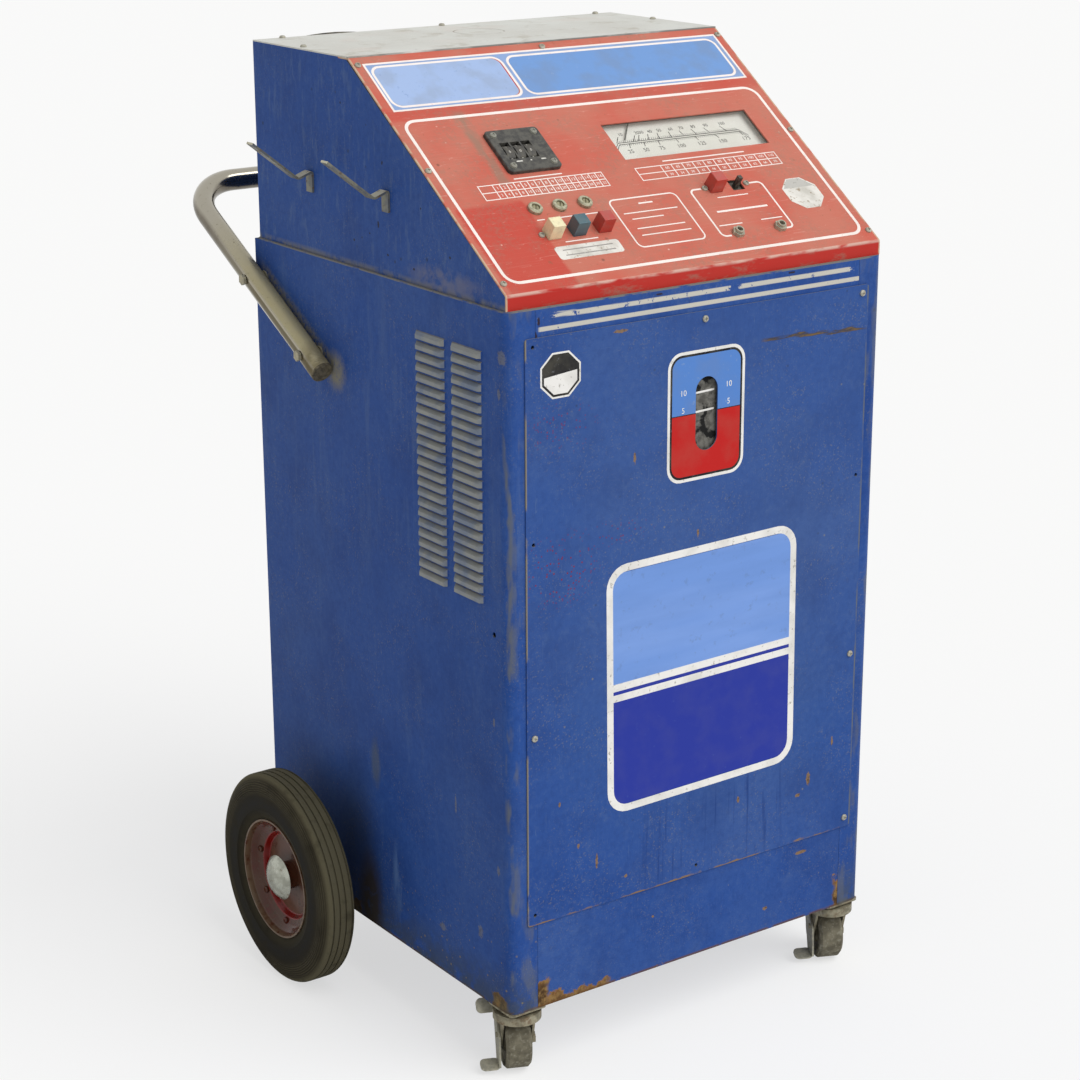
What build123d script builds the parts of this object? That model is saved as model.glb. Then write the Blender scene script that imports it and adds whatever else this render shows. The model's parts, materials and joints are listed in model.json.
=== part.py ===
from build123d import *
import os
from math import atan2, cos, degrees, hypot, radians, sin

# Sizes in millimetres. X is to the right, Y to the back and Z up, with z = 0 on the floor
# and x = y = 0 under the middle of the cabinet. All pieces move to the row origin at the end.

# Cabinet of folded sheet steel
cabinet_width = 508.0
cabinet_depth = 508.0
cabinet_bottom = 85.0
cabinet_top = 866.0
sheet = 1.5
corner_radius = 13.0
corner_flange = 35.5
seam = 0.4
pan_lip = 24.0
kick_height = 130.0
rail_height = 51.0
fold_lip = 20.0

# Front service panel with its sight slot
service_width = 464.0
service_bottom = 186.5
service_top = 836.0
service_corner = 3.0
slot_x = 4.0
slot_z = 724.0
slot_width = 30.0
slot_height = 81.0
screw_inset = 9.4
screw_side_heights = (198.5, 404.0, 618.5, 827.0)
middle_screw_top = 827.5
middle_screw_bottom = 197.5
screw_hole = 4.2
missing_screws = (0, 4, 5, 6, 9)

# Louvres pressed into both side panels
louvre_count = 24
louvre_pitch = 11.4
louvre_length = 55.0
louvre_height = 8.0
louvre_depth = 4.5
louvre_wall = 1.0
louvre_slant = 40.0
louvre_first_z = 549.0
louvre_column_y = (-115.5, -183.5)
drain_hole_y = -228.0
drain_hole_z = 519.0
drain_hole_radius = 3.0

# Rear frame, door, hinge and latch
door_opening_width = 400.0
door_opening_bottom = 125.0
door_opening_top = 790.0
door_overlap = 12.0
door_depth = 10.0
door_gap = 0.4
hinge_barrel_radius = 4.0
hinge_pin_radius = 2.5
hinge_leaf_width = 24.0
hinge_leaf = 1.2
hinge_length = 600.0
hinge_knuckles = 5
hinge_gap = 0.5
latch_z = 470.0
latch_inset = 12.0
latch_shaft_radius = 5.0
latch_knob_radius = 16.0
latch_knob_depth = 9.0
latch_cam_length = 20.0
latch_cam_width = 12.0
latch_cam = 2.5

# Console with the sloping control panel
console_side_inset = 3.0
console_front_inset = 4.0
console_back_inset = 7.0
console_lip = 16.0
console_height = 224.0
console_top_depth = 205.0
console_flange = 20.0
side_clearance = 0.3
top_screw_inset = 4.0
top_screw_x = (-215.0, 0.0, 225.0)
top_screw_side_y = 150.0
console_screw_radius = 3.6
console_screw_height = 2.6

# Control panel fittings: u across from the middle line, w up the slope, n out of the panel
panel_screw_u = 245.0
panel_screw_w = (16.0, 181.0)
upper_screw_inset = 12.6
middle_screw_inset = 7.6
screw_recess = 4.0
screw_recess_width = 0.9
screw_recess_depth = 1.2
meter_u = (0.0, 203.0)
meter_w = (165.0, 221.0)
meter_case_rim = 8.0
meter_case_depth = 30.0
meter_case_head = 92.0
meter_case_wall = 2.0
meter_pin_gap = 0.5
needle_lift = 2.2
meter_glass = 2.0
meter_dial_depth = 9.0
meter_dial = 1.2
needle_pivot_u = 101.5
needle_pivot_w = 300.0
needle_length = 126.0
needle_width = 1.6
needle_thickness = 0.8
needle_rest = 38.0
needle_hub_radius = 4.0
needle_pin_radius = 1.5
thumb_u = (-154.0, -86.0)
thumb_w = (162.5, 225.0)
thumb_bezel = 5.0
thumb_corner = 5.0
thumb_slot_u = (-147.0, -97.5)
thumb_slot_w = (180.0, 205.0)
thumb_wheel_u = (-139.5, -126.0, -112.5)
thumb_wheel_width = 10.0
thumb_wheel_radius = 15.0
thumb_wheel_sink = 9.0
thumb_wheel_faces = 20
thumb_pin_radius = 1.5
thumb_frame_depth = 27.0
thumb_screw_inset_u = 8.0
thumb_screw_inset_w = 8.0
lamp_u = (-152.0, -121.0, -88.0)
lamp_w = 110.0
lamp_radius = 8.2
lamp_bore = 4.6
lamp_height = 4.5
lamp_stem_radius = 6.0
lamp_stem = 18.0
lamp_floor = 2.0
lens_top = 3.4
lens_slot = 1.4
lens_slot_depth = 1.2
cap_width = 16.0
cap_length = 15.0
cap_height = 18.0
cap_skirt = 6.0
cap_taper = 1.5
cap_clearance = 0.3
cap_travel = 4.0
cap_w = 73.5
cap_u = (-152.0, -120.5, -87.5)
stem_radius = 3.0
stem_length = 11.0
running_clearance = 0.05
switch_depth = 26.0
switch_rim = 6.0
switch_foot = 12.0
bank_screw_u = -164.5
probe_cap_u = 85.0
probe_w = 108.5
plunger_u = 117.0
plunger_side = 5.0
plunger_height = 12.0
probe_screw_u = (72.8, 131.0)
jack_u = (73.5, 132.5)
jack_w = 39.0
jack_bore = 3.2
jack_radius = 4.8
jack_height = 7.0
jack_depth = 20.0
jack_nut_flats = 12.7
jack_nut = 4.0

# Hose hooks on the left of the console
hook_y = (127.0, -30.0)
hook_width = 13.0
hook_strip = 2.5
hook_foot_z = 935.0
hook_tab = 25.0
hook_shelf_out = 16.5
hook_shelf_drop = 7.0
hook_arm_out = 55.0
hook_arm_rise = 43.0
hook_bend = 3.5

# Push handle of bent tube, bolted to the cabinet sides
handle_radius = 12.7
handle_wall = 2.0
handle_standoff = 1.3
handle_end_y = 88.0
handle_end_z = 741.0
handle_rise = 28.9
handle_reach = 347.0
handle_bend = 62.5
handle_bolt_y = (115.0, 235.0)
handle_bolt_radius = 4.0
handle_head = 5.5
handle_head_height = 3.6
plug_depth = 14.0
plug_cap = 2.5

# Rear wheels and axle
wheel_radius = 127.0
wheel_width = 44.0
wheel_gap = 38.0
wheel_y = 124.0
axle_radius = 7.94
axle_overhang = 4.0
spacer_radius = 12.0
hub_radius = 17.0
hub_inner = 17.0
hub_outer = 12.0
rim_radius = 72.0
rim_flange = 3.0
rim_steel = 2.2
rim_recess_radius = 50.0
rim_recess_floor = -4.0
rim_bowl_foot = (53.0, 2.5)
rim_bowl_middle = (62.0, 5.0)
rim_bowl_head = (68.5, 12.0)
rim_lip_inset = 3.0
rim_bead_inset = 5.0
rim_rivet_circle = 58.5
rim_rivets = 7
rim_rivet_phase = 12.0
rim_rivet_radius = 4.2
rim_rivet_height = 2.6
tread_shoulder = 14.0
tread_grooves = 4
tread_groove_width = 1.8
tread_groove_depth = 1.4
tread_spacing = 8.0
bead_slope = 12.0
hub_cap_radius = 27.0
hub_cap_height = 12.0

# Front casters
caster_x = 229.0
caster_y = -229.0
caster_yaw = -24.0
caster_wheel_radius = 31.75
caster_wheel_width = 29.0
caster_trail = 15.0
caster_plate = (48.0, 48.0, 3.0)
caster_bolt_inset = 8.0
caster_plate_bolt = 2.6
caster_plate_head = 3.2
caster_plate_head_height = 2.0
caster_race_radius = 19.0
caster_race = 3.0
caster_crown_radius = 27.0
caster_crown = 10.0
caster_crown_wall = 3.0
caster_gap = 0.4
caster_leg = 2.6
caster_leg_width = 30.0
caster_leg_foot = 11.0
caster_side_gap = 1.6
kingpin_radius = 6.0
caster_bolt_radius = 4.0
caster_nut_flats = 12.0
caster_nut = 4.0
brake_plate = 2.2
brake_gap = 0.6
brake_pivot_ahead = 9.0
brake_pivot_z = 44.0
brake_pivot_radius = 3.0
brake_pad_out = 20.0
brake_pad_width = 17.0
brake_top = 77.0
brake_foot = 8.0

# Supply tank on its spring scale, with the level flag behind the sight slot
shelf_z = 170.0
shelf_front = -40.0
scale_radius = 40.0
scale_height = 44.0
scale_stem_radius = 12.0
scale_stroke = 30.0
platform_lift = 8.0
platform_radius = 118.0
platform_rim = 12.0
tank_y = 95.0
tank_radius = 112.0
tank_height = 330.0
tank_dome = 48.0
tank_collar_radius = 70.0
tank_collar_height = 52.0
tank_foot_radius = 85.0
tank_foot = 18.0
tank_wall = 3.0
tank_ring_wall = 2.5
tank_hand_hole = 60.0
tank_valve_radius = 9.0
tank_valve_height = 26.0
tank_wheel_radius = 20.0
tank_wheel_height = 9.0
platform_floor = 3.0
flag_arm_width = 26.0
flag_strip = 2.0
flag_back = 2.0
flag_width = 44.0
flag_bottom = 668.0
flag_top = 763.0

# Vacuum pump, valves and circuit box
pump_y = -140.0
pump_axis_z = 146.0
motor_radius = 50.0
motor_length = 175.0
motor_x = -40.0
pump_block = (72.0, 96.0, 108.0)
manifold = (150.0, 36.0, 32.0)
manifold_x = -75.0
manifold_y = 120.0
valve_radius = 13.0
valve_height = 52.0
circuit_box = (190.0, 90.0, 60.0)
circuit_box_x = 120.0
circuit_box_y = 130.0
circuit_sheet = 1.2
port_x = (-70.0, -30.0)
port_z = 960.0
port_radius = 5.5
port_wall = 2.0
port_inside = 18.0
port_outside = 24.0
port_flats = 16.5
port_nut = 8.0
inlet_x = 90.0
inlet_size = (46.0, 28.0, 3.0)
inlet_body_rim = (6.0, 3.0)
inlet_pocket_wall = 3.0
inlet_depth = 20.0
inlet_pocket_depth = 14.0

half_width = cabinet_width / 2
half_depth = cabinet_depth / 2
front_y = -half_depth
flange_edge = half_width - corner_flange
deck_z = cabinet_top - sheet
upright = (Align.CENTER, Align.CENTER, Align.MIN)
joint_table = {}


def folded(points, radius, thickness=sheet, side=Side.LEFT):
    """Face of a bent strip: the points are its outer face, and the steel lies to one side."""
    outline = FilletPolyline(*points, radius=radius)
    return make_face(offset(outline, amount=thickness, side=side, closed=True))


def box_between(low, high):
    """Box from its lowest corner to its highest."""
    size = [high[i] - low[i] for i in range(3)]
    return Pos(*low) * Box(*size, align=(Align.MIN,) * 3)


def rod(start, axis, radius, length):
    """Round bar from a point along an axis."""
    return Plane(origin=start, z_dir=axis) * Cylinder(radius, length, align=upright)


def mirrored(shape):
    """The same piece on the other side of the cabinet."""
    return mirror(shape, Plane.YZ)


# Cabinet shell

def louvre_solids(y, z, outset=0.0):
    """One pressed hood on the left panel: a slanted block with its lower half cut away."""
    plane = Plane(origin=(-half_width, y, z), x_dir=(0, -1, 0), z_dir=(-1, 0, 0))
    length = louvre_length - 2 * outset
    height = louvre_height - outset
    block = extrude(Rectangle(length, 2 * height), amount=louvre_depth - outset, taper=louvre_slant)
    if outset > 0:
        block += Pos(0, 0, -sheet / 2) * Box(length, 2 * height, sheet)
    keep = Pos(0, height, 0) * Box(2 * length, 2 * height, 4 * louvre_depth)
    return plane * (block & keep)


def side_panel():
    """Left panel: one sheet folded round the front corner, with two columns of louvres."""
    face = folded(
        [(-half_width, half_depth - sheet), (-half_width, front_y), (-flange_edge, front_y)],
        corner_radius,
    )
    panel = Pos(0, 0, cabinet_bottom) * extrude(face, amount=deck_z - cabinet_bottom)
    spots = [
        (y, louvre_first_z + i * louvre_pitch)
        for y in louvre_column_y
        for i in range(louvre_count)
    ]
    panel += [louvre_solids(y, z) for y, z in spots]
    panel -= [louvre_solids(y, z, louvre_wall) for y, z in spots]
    holes = [rod((-half_width - 1, wheel_y, wheel_radius), (1, 0, 0), axle_radius, 4)]
    holes += [
        rod((-half_width - 1, y, handle_line_z(y)), (1, 0, 0), handle_bolt_radius, 4)
        for y in handle_bolt_y
    ]
    holes.append(rod((-half_width - 1, drain_hole_y, drain_hole_z), (1, 0, 0), drain_hole_radius, 4))
    holes += [
        rod((-service_width / 2 + screw_inset, front_y - 1, z), (0, 1, 0), screw_hole / 2, 4)
        for z in screw_side_heights
    ]
    return panel - holes


def handle_line_z(y):
    """Height of the handle's arm above a place on the cabinet side."""
    return handle_end_z + (y - handle_end_y) * sin(radians(handle_rise)) / cos(radians(handle_rise))


def base_pan():
    """Tray that closes the cabinet's bottom, its lip inside the side panels."""
    outer = RectangleRounded(cabinet_width - 2 * sheet, cabinet_depth - 2 * sheet, corner_radius - sheet)
    inner = RectangleRounded(cabinet_width - 4 * sheet, cabinet_depth - 4 * sheet, corner_radius - 2 * sheet)
    pan = extrude(outer, amount=pan_lip) - Pos(0, 0, sheet) * extrude(inner, amount=pan_lip)
    bolt_holes = [rod((x, y, -1), (0, 0, 1), caster_plate_bolt, sheet + 2) for x, y in plate_bolt_spots()]
    return Pos(0, 0, cabinet_bottom) * (pan - bolt_holes)


def front_strip(bottom, top, lip_at_top):
    """Kick panel or top rail: a flat strip between the corners, folded in at one edge."""
    inside = front_y + fold_lip
    if lip_at_top:
        points = [(front_y, bottom), (front_y, top), (inside, top)]
        side = Side.RIGHT
    else:
        points = [(front_y, top), (front_y, bottom), (inside, bottom)]
        side = Side.LEFT
    width = 2 * (flange_edge - seam)
    face = Plane.YZ * folded(points, 2 * sheet, side=side)
    return Pos(-width / 2, 0, 0) * extrude(face, amount=width, dir=(1, 0, 0))


def screw_spots():
    """Centres of the service panel's ten screw holes."""
    side_x = service_width / 2 - screw_inset
    spots = [(x, z) for z in screw_side_heights for x in (-side_x, side_x)]
    return spots + [(0.0, middle_screw_top), (0.0, middle_screw_bottom)]


def front_holes():
    return [rod((x, front_y - 4, z), (0, 1, 0), screw_hole / 2, 8) for x, z in screw_spots()]


def kick_panel():
    top = cabinet_bottom + kick_height
    strip = front_strip(cabinet_bottom, top, True)
    return strip - front_holes()


def top_rail():
    strip = front_strip(deck_z - rail_height, deck_z, False)
    return strip - front_holes()


def front_panel():
    """Service panel: overlaps the cabinet front and has the sight slot of the supply tank."""
    height = service_top - service_bottom
    plane = Plane(origin=(0, front_y, service_bottom + height / 2), x_dir=(1, 0, 0), z_dir=(0, -1, 0))
    panel = plane * extrude(RectangleRounded(service_width, height, service_corner), amount=sheet)
    slot = Plane(origin=(slot_x, front_y + 1, slot_z), x_dir=(1, 0, 0), z_dir=(0, -1, 0))
    panel -= slot * extrude(Rot(0, 0, 90) * SlotOverall(slot_height, slot_width), amount=2 * sheet + 1)
    return panel - front_holes()


def pan_screw(place, length):
    """Pan-head screw whose head rests on the plane at the origin of place."""
    head = Cylinder(console_screw_radius, console_screw_height, align=upright)
    head = chamfer(head.edges().group_by(Axis.Z)[-1], console_screw_height * 0.45)
    floor = Pos(0, 0, console_screw_height)
    head -= floor * Box(screw_recess, screw_recess_width, 2 * screw_recess_depth)
    head -= floor * Box(screw_recess_width, screw_recess, 2 * screw_recess_depth)
    shank = rod((0, 0, -length), (0, 0, 1), screw_hole / 2, length)
    return place * (head + shank)


def panel_screws():
    """The screws that are still in place, on the front, the control panel and the top."""
    spots = [spot for i, spot in enumerate(screw_spots()) if i not in missing_screws]
    screws = [
        pan_screw(Plane(origin=(x, front_y - sheet, z), z_dir=(0, -1, 0)), 2 * sheet + 4)
        for x, z in spots
    ]
    screws += [pan_screw(on_panel(u, w), sheet + 4) for u, w in control_screw_spots()]
    screws += [pan_screw(Pos(x, y, top_z), sheet + 4) for x, y in top_screw_spots()]
    return Compound(screws)


def deck():
    """Flat sheet over the lower cabinet, whose edge shows as a thin ledge under the console."""
    outline = Pos(0, 0, deck_z) * RectangleRounded(cabinet_width, cabinet_depth, corner_radius)
    return extrude(outline, amount=sheet)


# Rear frame, door, hinge and latch

door_width = door_opening_width + 2 * door_overlap
door_bottom = door_opening_bottom - door_overlap
door_top = door_opening_top + door_overlap
door_back = half_depth + door_gap + door_depth
hinge_x = -door_width / 2 - hinge_leaf - hinge_barrel_radius + 0.8
hinge_y = half_depth + hinge_barrel_radius + door_gap
hinge_bottom = (door_bottom + door_top - hinge_length) / 2
latch_x = door_opening_width / 2 - latch_inset


def back_frame():
    """Rear sheet of the cabinet with the opening behind the door."""
    frame = box_between((-half_width, half_depth - sheet, cabinet_bottom), (half_width, half_depth, deck_z))
    half = door_opening_width / 2
    low = (-half, half_depth - 4, door_opening_bottom)
    opening = box_between(low, (half, half_depth + 4, door_opening_top))
    return frame - opening


def knuckle_spans(first):
    """Heights of every second knuckle of the hinge, from the first one given."""
    step = hinge_length / hinge_knuckles
    spans = []
    for i in range(first, hinge_knuckles, 2):
        low = hinge_bottom + i * step + (hinge_gap / 2 if i else 0)
        high = hinge_bottom + (i + 1) * step - (hinge_gap / 2 if i < hinge_knuckles - 1 else 0)
        spans.append((low, high))
    return spans


def knuckle_tube(low, high):
    return rod((hinge_x, hinge_y, low), (0, 0, 1), hinge_barrel_radius, high - low)


def hinge_bore():
    clear_radius = hinge_pin_radius + running_clearance
    return rod((hinge_x, hinge_y, hinge_bottom - 5), (0, 0, 1), clear_radius, hinge_length + 10)


def rear_door():
    """Pan-shaped door: a sheet with its four edges folded forward, and its half of the hinge."""
    half = door_width / 2
    front = half_depth + door_gap
    pan = box_between((-half, front, door_bottom), (half, door_back, door_top))
    pan -= box_between(
        (-half + sheet, front - 1, door_bottom + sheet), (half - sheet, door_back - sheet, door_top - sheet)
    )
    pan -= rod((latch_x, front, latch_z), (0, 1, 0), latch_shaft_radius + running_clearance, door_depth + 2)
    top = hinge_bottom + hinge_length
    clear_y = hinge_y + hinge_barrel_radius + hinge_gap
    leaf = box_between((-half - hinge_leaf, clear_y, hinge_bottom), (-half, door_back, top))
    for low, high in knuckle_spans(1):
        leaf += box_between((-half - hinge_leaf, hinge_y, low), (-half, clear_y, high))
        leaf += knuckle_tube(low, high)
    leaf -= hinge_bore()
    return Compound([pan, leaf])


def hinge_frame_leaf():
    """Half of the hinge that is fixed to the frame, with the hinge pin through it."""
    edge = hinge_x - hinge_barrel_radius - hinge_gap
    top = hinge_bottom + hinge_length
    low = (edge - hinge_leaf_width, half_depth, hinge_bottom)
    plate = box_between(low, (edge, half_depth + hinge_leaf, top))
    for low, high in knuckle_spans(0):
        plate += box_between((edge, half_depth, low), (hinge_x, half_depth + hinge_leaf, high))
        plate += knuckle_tube(low, high)
    plate -= hinge_bore()
    pin = rod((hinge_x, hinge_y, hinge_bottom), (0, 0, 1), hinge_pin_radius, hinge_length)
    pin += rod((hinge_x, hinge_y, hinge_bottom + hinge_length), (0, 0, 1), hinge_barrel_radius, 2)
    return Compound([plate, pin])


def door_latch():
    """Quarter-turn latch: knob, shaft through the door and a cam that turns behind the frame."""
    cam_y = half_depth - sheet - door_gap - latch_cam
    shaft = rod((latch_x, cam_y, latch_z), (0, 1, 0), latch_shaft_radius, door_back + door_gap - cam_y)
    knob = rod((latch_x, door_back + door_gap, latch_z), (0, 1, 0), latch_knob_radius, 2.0)
    reach = latch_knob_radius
    grip_y = door_back + door_gap
    low = (latch_x - reach / 4, grip_y, latch_z - reach)
    grip = box_between(low, (latch_x + reach / 4, grip_y + latch_knob_depth, latch_z + reach))
    grip = fillet(grip.edges().filter_by(Axis.Y), latch_knob_radius / 5)
    cam = box_between(
        (latch_x - latch_cam_width / 2, cam_y, latch_z - latch_cam_width / 2),
        (latch_x + latch_cam_width / 2, cam_y + latch_cam, latch_z + latch_cam_length),
    )
    joint_table["door_latch"] = ((latch_x, door_back, latch_z), (0, 1, 0))
    return shaft + knob + grip + cam


# Console and control panel

console_half = half_width - console_side_inset
slope_foot_y = front_y + console_front_inset
slope_foot_z = cabinet_top + console_lip
top_z = cabinet_top + console_height
under_top = top_z - sheet
console_back_y = half_depth - console_back_inset
slope_head_y = console_back_y - console_top_depth
slope_angle = degrees(atan2(under_top - slope_foot_z, slope_head_y - slope_foot_y))
slope_length = hypot(slope_head_y - slope_foot_y, under_top - slope_foot_z)
slope_tangent = sin(radians(slope_angle)) / cos(radians(slope_angle))
slope_normal = (0, -sin(radians(slope_angle)), cos(radians(slope_angle)))
slope_plane = Plane(origin=(0, slope_foot_y, slope_foot_z), x_dir=(1, 0, 0), z_dir=slope_normal)


def on_panel(u, w, n=0.0):
    """Plane parallel to the slope at a place on it."""
    return slope_plane * Pos(u, w, n)


def on_panel_plane(u, w, n=0.0):
    origin = slope_plane.from_local_coords(Vector(u, w, n))
    return Plane(origin=origin, x_dir=(1, 0, 0), z_dir=slope_normal)


def panel_box(u, w, n):
    """Box given by its spans across, up and out of the slope."""
    return slope_plane * box_between((u[0], w[0], n[0]), (u[1], w[1], n[1]))


def panel_rod(u, w, n, radius):
    """Round bar square to the slope between two depths."""
    bar = Pos(u, w, n[0]) * Cylinder(radius, n[1] - n[0], align=upright)
    return slope_plane * bar


def console_side():
    """Left side of the console, under the slope and the top sheet."""
    foot = slope_foot_y + sheet
    drop = (sheet + side_clearance) / cos(radians(slope_angle))
    points = [
        (foot, cabinet_top),
        (console_back_y, cabinet_top),
        (console_back_y, under_top),
        (slope_head_y + console_flange + 1, under_top),
        (slope_head_y + console_flange + 1, under_top - sheet),
        (slope_head_y + 2 * sheet, under_top - sheet - side_clearance),
        (foot, slope_foot_z - drop + sheet * slope_tangent),
    ]
    face = Plane.YZ * make_face(Polyline(*points, close=True))
    return Pos(-console_half, 0, 0) * extrude(face, amount=sheet, dir=(1, 0, 0))


def console_back():
    """Back sheet of the console, with the holes of the hose ports and the power inlet."""
    half = console_half - sheet
    sheet_back = box_between((-half, console_back_y - sheet, cabinet_top), (half, console_back_y, under_top))
    sheet_back -= [rod((x, console_back_y - 4, port_z), (0, 1, 0), port_radius, 8) for x in port_x]
    across = inlet_size[0] / 2 - inlet_body_rim[0]
    up = inlet_size[1] / 2 - inlet_body_rim[1]
    low = (inlet_x - across, console_back_y - 4, port_z - up)
    sheet_back -= box_between(low, (inlet_x + across, console_back_y + 4, port_z + up))
    return sheet_back


def top_screw_spots():
    """Screws along the back edge and the sides of the console's top."""
    back = console_back_y - top_screw_inset
    side = console_half - 9
    return [(x, back) for x in top_screw_x] + [(-side, top_screw_side_y), (side, top_screw_side_y)]


def console_top():
    """Plain sheet on the console, its front edge over the fold of the control panel."""
    top = box_between((-console_half, slope_head_y, under_top), (console_half, console_back_y, top_z))
    return top - [rod((x, y, under_top - 4), (0, 0, 1), screw_hole / 2, 8) for x, y in top_screw_spots()]


def control_screw_spots():
    heights = (*panel_screw_w, slope_length - upper_screw_inset)
    spots = [(side * panel_screw_u, w) for side in (-1, 1) for w in heights]
    spots += [(-3.0, slope_length - middle_screw_inset), (bank_screw_u, cap_w)]
    return spots + [(u, probe_w) for u in probe_screw_u]


def cap_holes():
    """Square holes of the five push buttons."""
    half_u = cap_width / 2 + cap_clearance
    half_w = cap_length / 2 + cap_clearance
    spots = [(u, cap_w) for u in cap_u] + [(probe_cap_u, probe_w), (plunger_u, probe_w)]
    return [
        panel_box((u - half_u, u + half_u), (w - half_w, w + half_w), (-switch_rim, 3))
        for u, w in spots
    ]


def control_panel():
    """Front lip and slope in one folded sheet, cut for its meter, switches and lamps."""
    points = [
        (slope_foot_y, cabinet_top),
        (slope_foot_y, slope_foot_z),
        (slope_head_y, under_top),
        (slope_head_y + console_flange, under_top),
    ]
    width = 2 * console_half
    face = Plane.YZ * folded(points, 2 * sheet, side=Side.RIGHT)
    panel = Pos(-console_half, 0, 0) * extrude(face, amount=width, dir=(1, 0, 0))
    cut = (-4, 4)
    panel -= panel_box(meter_u, meter_w, cut)
    panel -= panel_box(
        (thumb_slot_u[0] - 1.5, thumb_slot_u[1] + 1.5),
        (thumb_slot_w[0] - 4, thumb_slot_w[1] + 4),
        cut,
    )
    panel -= [panel_rod(u, lamp_w, cut, lamp_stem_radius) for u in lamp_u]
    panel -= cap_holes()
    panel -= [panel_rod(u, jack_w, cut, jack_radius) for u in jack_u]
    panel -= [panel_rod(u, w, cut, screw_hole / 2) for u, w in control_screw_spots()]
    panel -= [
        panel_rod(u, w, cut, screw_hole / 2)
        for u, w in thumb_screw_spots()
    ]
    return panel


def meter_case():
    """Shell behind the window that holds the dial, the needle and its pin."""
    u = (meter_u[0] - meter_case_rim, meter_u[1] + meter_case_rim)
    w = (meter_w[0] - meter_case_rim, meter_w[1] + meter_case_head)
    depth = (-sheet - meter_case_depth, -sheet)
    wall = meter_case_wall
    inner_u = (u[0] + wall, u[1] - wall)
    inner_w = (w[0] + wall, w[1] - wall)
    case = panel_box(u, w, depth)
    case -= panel_box(inner_u, inner_w, (depth[0] + wall, sheet))
    dial_back = -meter_dial_depth - meter_dial
    case += panel_box(inner_u, inner_w, (depth[0] + wall, dial_back))
    pin_top = -sheet - meter_glass - meter_pin_gap
    pin = panel_rod(needle_pivot_u, needle_pivot_w, (dial_back, pin_top), needle_pin_radius)
    return case + pin


def meter_dial_plate():
    """White card in the case, behind the needle."""
    rim = meter_case_rim - meter_case_wall
    u = (meter_u[0] - rim, meter_u[1] + rim)
    w = (meter_w[0] - rim, meter_w[1] + rim)
    return panel_box(u, w, (-meter_dial_depth - meter_dial, -meter_dial_depth))


def meter_window():
    rim = meter_case_rim - meter_case_wall
    u = (meter_u[0] - rim, meter_u[1] + rim)
    w = (meter_w[0] - rim, meter_w[1] + rim)
    return panel_box(u, w, (-sheet - meter_glass, -sheet))


def meter_needle():
    """Pointer that hangs from its pivot above the window, at rest on the left."""
    n = -meter_dial_depth + needle_lift
    bar = box_between((-needle_width / 2, -needle_length, 0), (needle_width / 2, 0, needle_thickness))
    bar += Cylinder(needle_hub_radius, needle_thickness, align=upright)
    hole = Cylinder(needle_pin_radius + running_clearance, 4)
    joint_table["meter_needle"] = (
        tuple(slope_plane.from_local_coords(Vector(needle_pivot_u, needle_pivot_w, n))),
        slope_normal,
    )
    return slope_plane * Pos(needle_pivot_u, needle_pivot_w, n) * Rot(0, 0, -needle_rest) * (bar - hole)


def thumb_screw_spots():
    """Corners of the thumbwheel bezel."""
    return [
        (u, w)
        for u in (thumb_u[0] + thumb_screw_inset_u, thumb_u[1] - thumb_screw_inset_u)
        for w in (thumb_w[0] + thumb_screw_inset_w, thumb_w[1] - thumb_screw_inset_w)
    ]


def thumb_walls():
    """Places across the panel of the walls on both sides of each wheel."""
    pitch = thumb_wheel_u[1] - thumb_wheel_u[0]
    first = thumb_wheel_u[0] - pitch / 2
    return [first + i * pitch for i in range(len(thumb_wheel_u) + 1)]


def thumbwheel_bezel():
    """Moulded bezel on the panel, and the frame behind it that carries the wheels' pin."""
    middle = ((thumb_u[0] + thumb_u[1]) / 2, (thumb_w[0] + thumb_w[1]) / 2)
    size = (thumb_u[1] - thumb_u[0], thumb_w[1] - thumb_w[0])
    plate = on_panel_plane(*middle) * extrude(RectangleRounded(*size, thumb_corner), amount=thumb_bezel)
    plate = chamfer(plate.faces().sort_by(Axis(origin=(0, 0, 0), direction=slope_normal))[-1].edges(), 0.8)
    slot_middle = (thumb_slot_w[0] + thumb_slot_w[1]) / 2
    pitch = thumb_wheel_u[1] - thumb_wheel_u[0]
    for u in thumb_wheel_u:
        half = (pitch - 2.0) / 2
        plate -= panel_box((u - half, u + half), thumb_slot_w, (-1, thumb_bezel + 1))
    plate -= [panel_rod(u, w, (-1, thumb_bezel + 1), screw_hole / 2) for u, w in thumb_screw_spots()]
    screws = [pan_screw(on_panel(u, w, thumb_bezel), thumb_bezel) for u, w in thumb_screw_spots()]
    reach = thumb_wheel_radius + 1.5
    frame = []
    span = (slot_middle - reach, slot_middle + reach)
    for u in thumb_walls():
        frame.append(panel_box((u - 0.9, u + 0.9), span, (-thumb_frame_depth, -sheet - 0.2)))
    back = panel_box(
        (thumb_walls()[0] - 0.9, thumb_walls()[-1] + 0.9),
        (slot_middle - reach, slot_middle + reach),
        (-thumb_frame_depth - 2, -thumb_frame_depth),
    )
    for wall in frame:
        back += wall
    pin_start = slope_plane.from_local_coords(Vector(thumb_walls()[0] - 0.9, slot_middle, -thumb_wheel_sink))
    pin = rod(tuple(pin_start), (1, 0, 0), thumb_pin_radius, thumb_walls()[-1] - thumb_walls()[0] + 1.8)
    tie_span = (slot_middle - 6, slot_middle + 6)
    first, last = thumb_walls()[0], thumb_walls()[-1]
    ties = panel_box((first - 0.9, first + 0.9), tie_span, (-sheet - 0.2, 0))
    ties += panel_box((last - 0.9, last + 0.9), tie_span, (-sheet - 0.2, 0))
    return Compound([plate, back + pin + ties] + screws)


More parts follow.
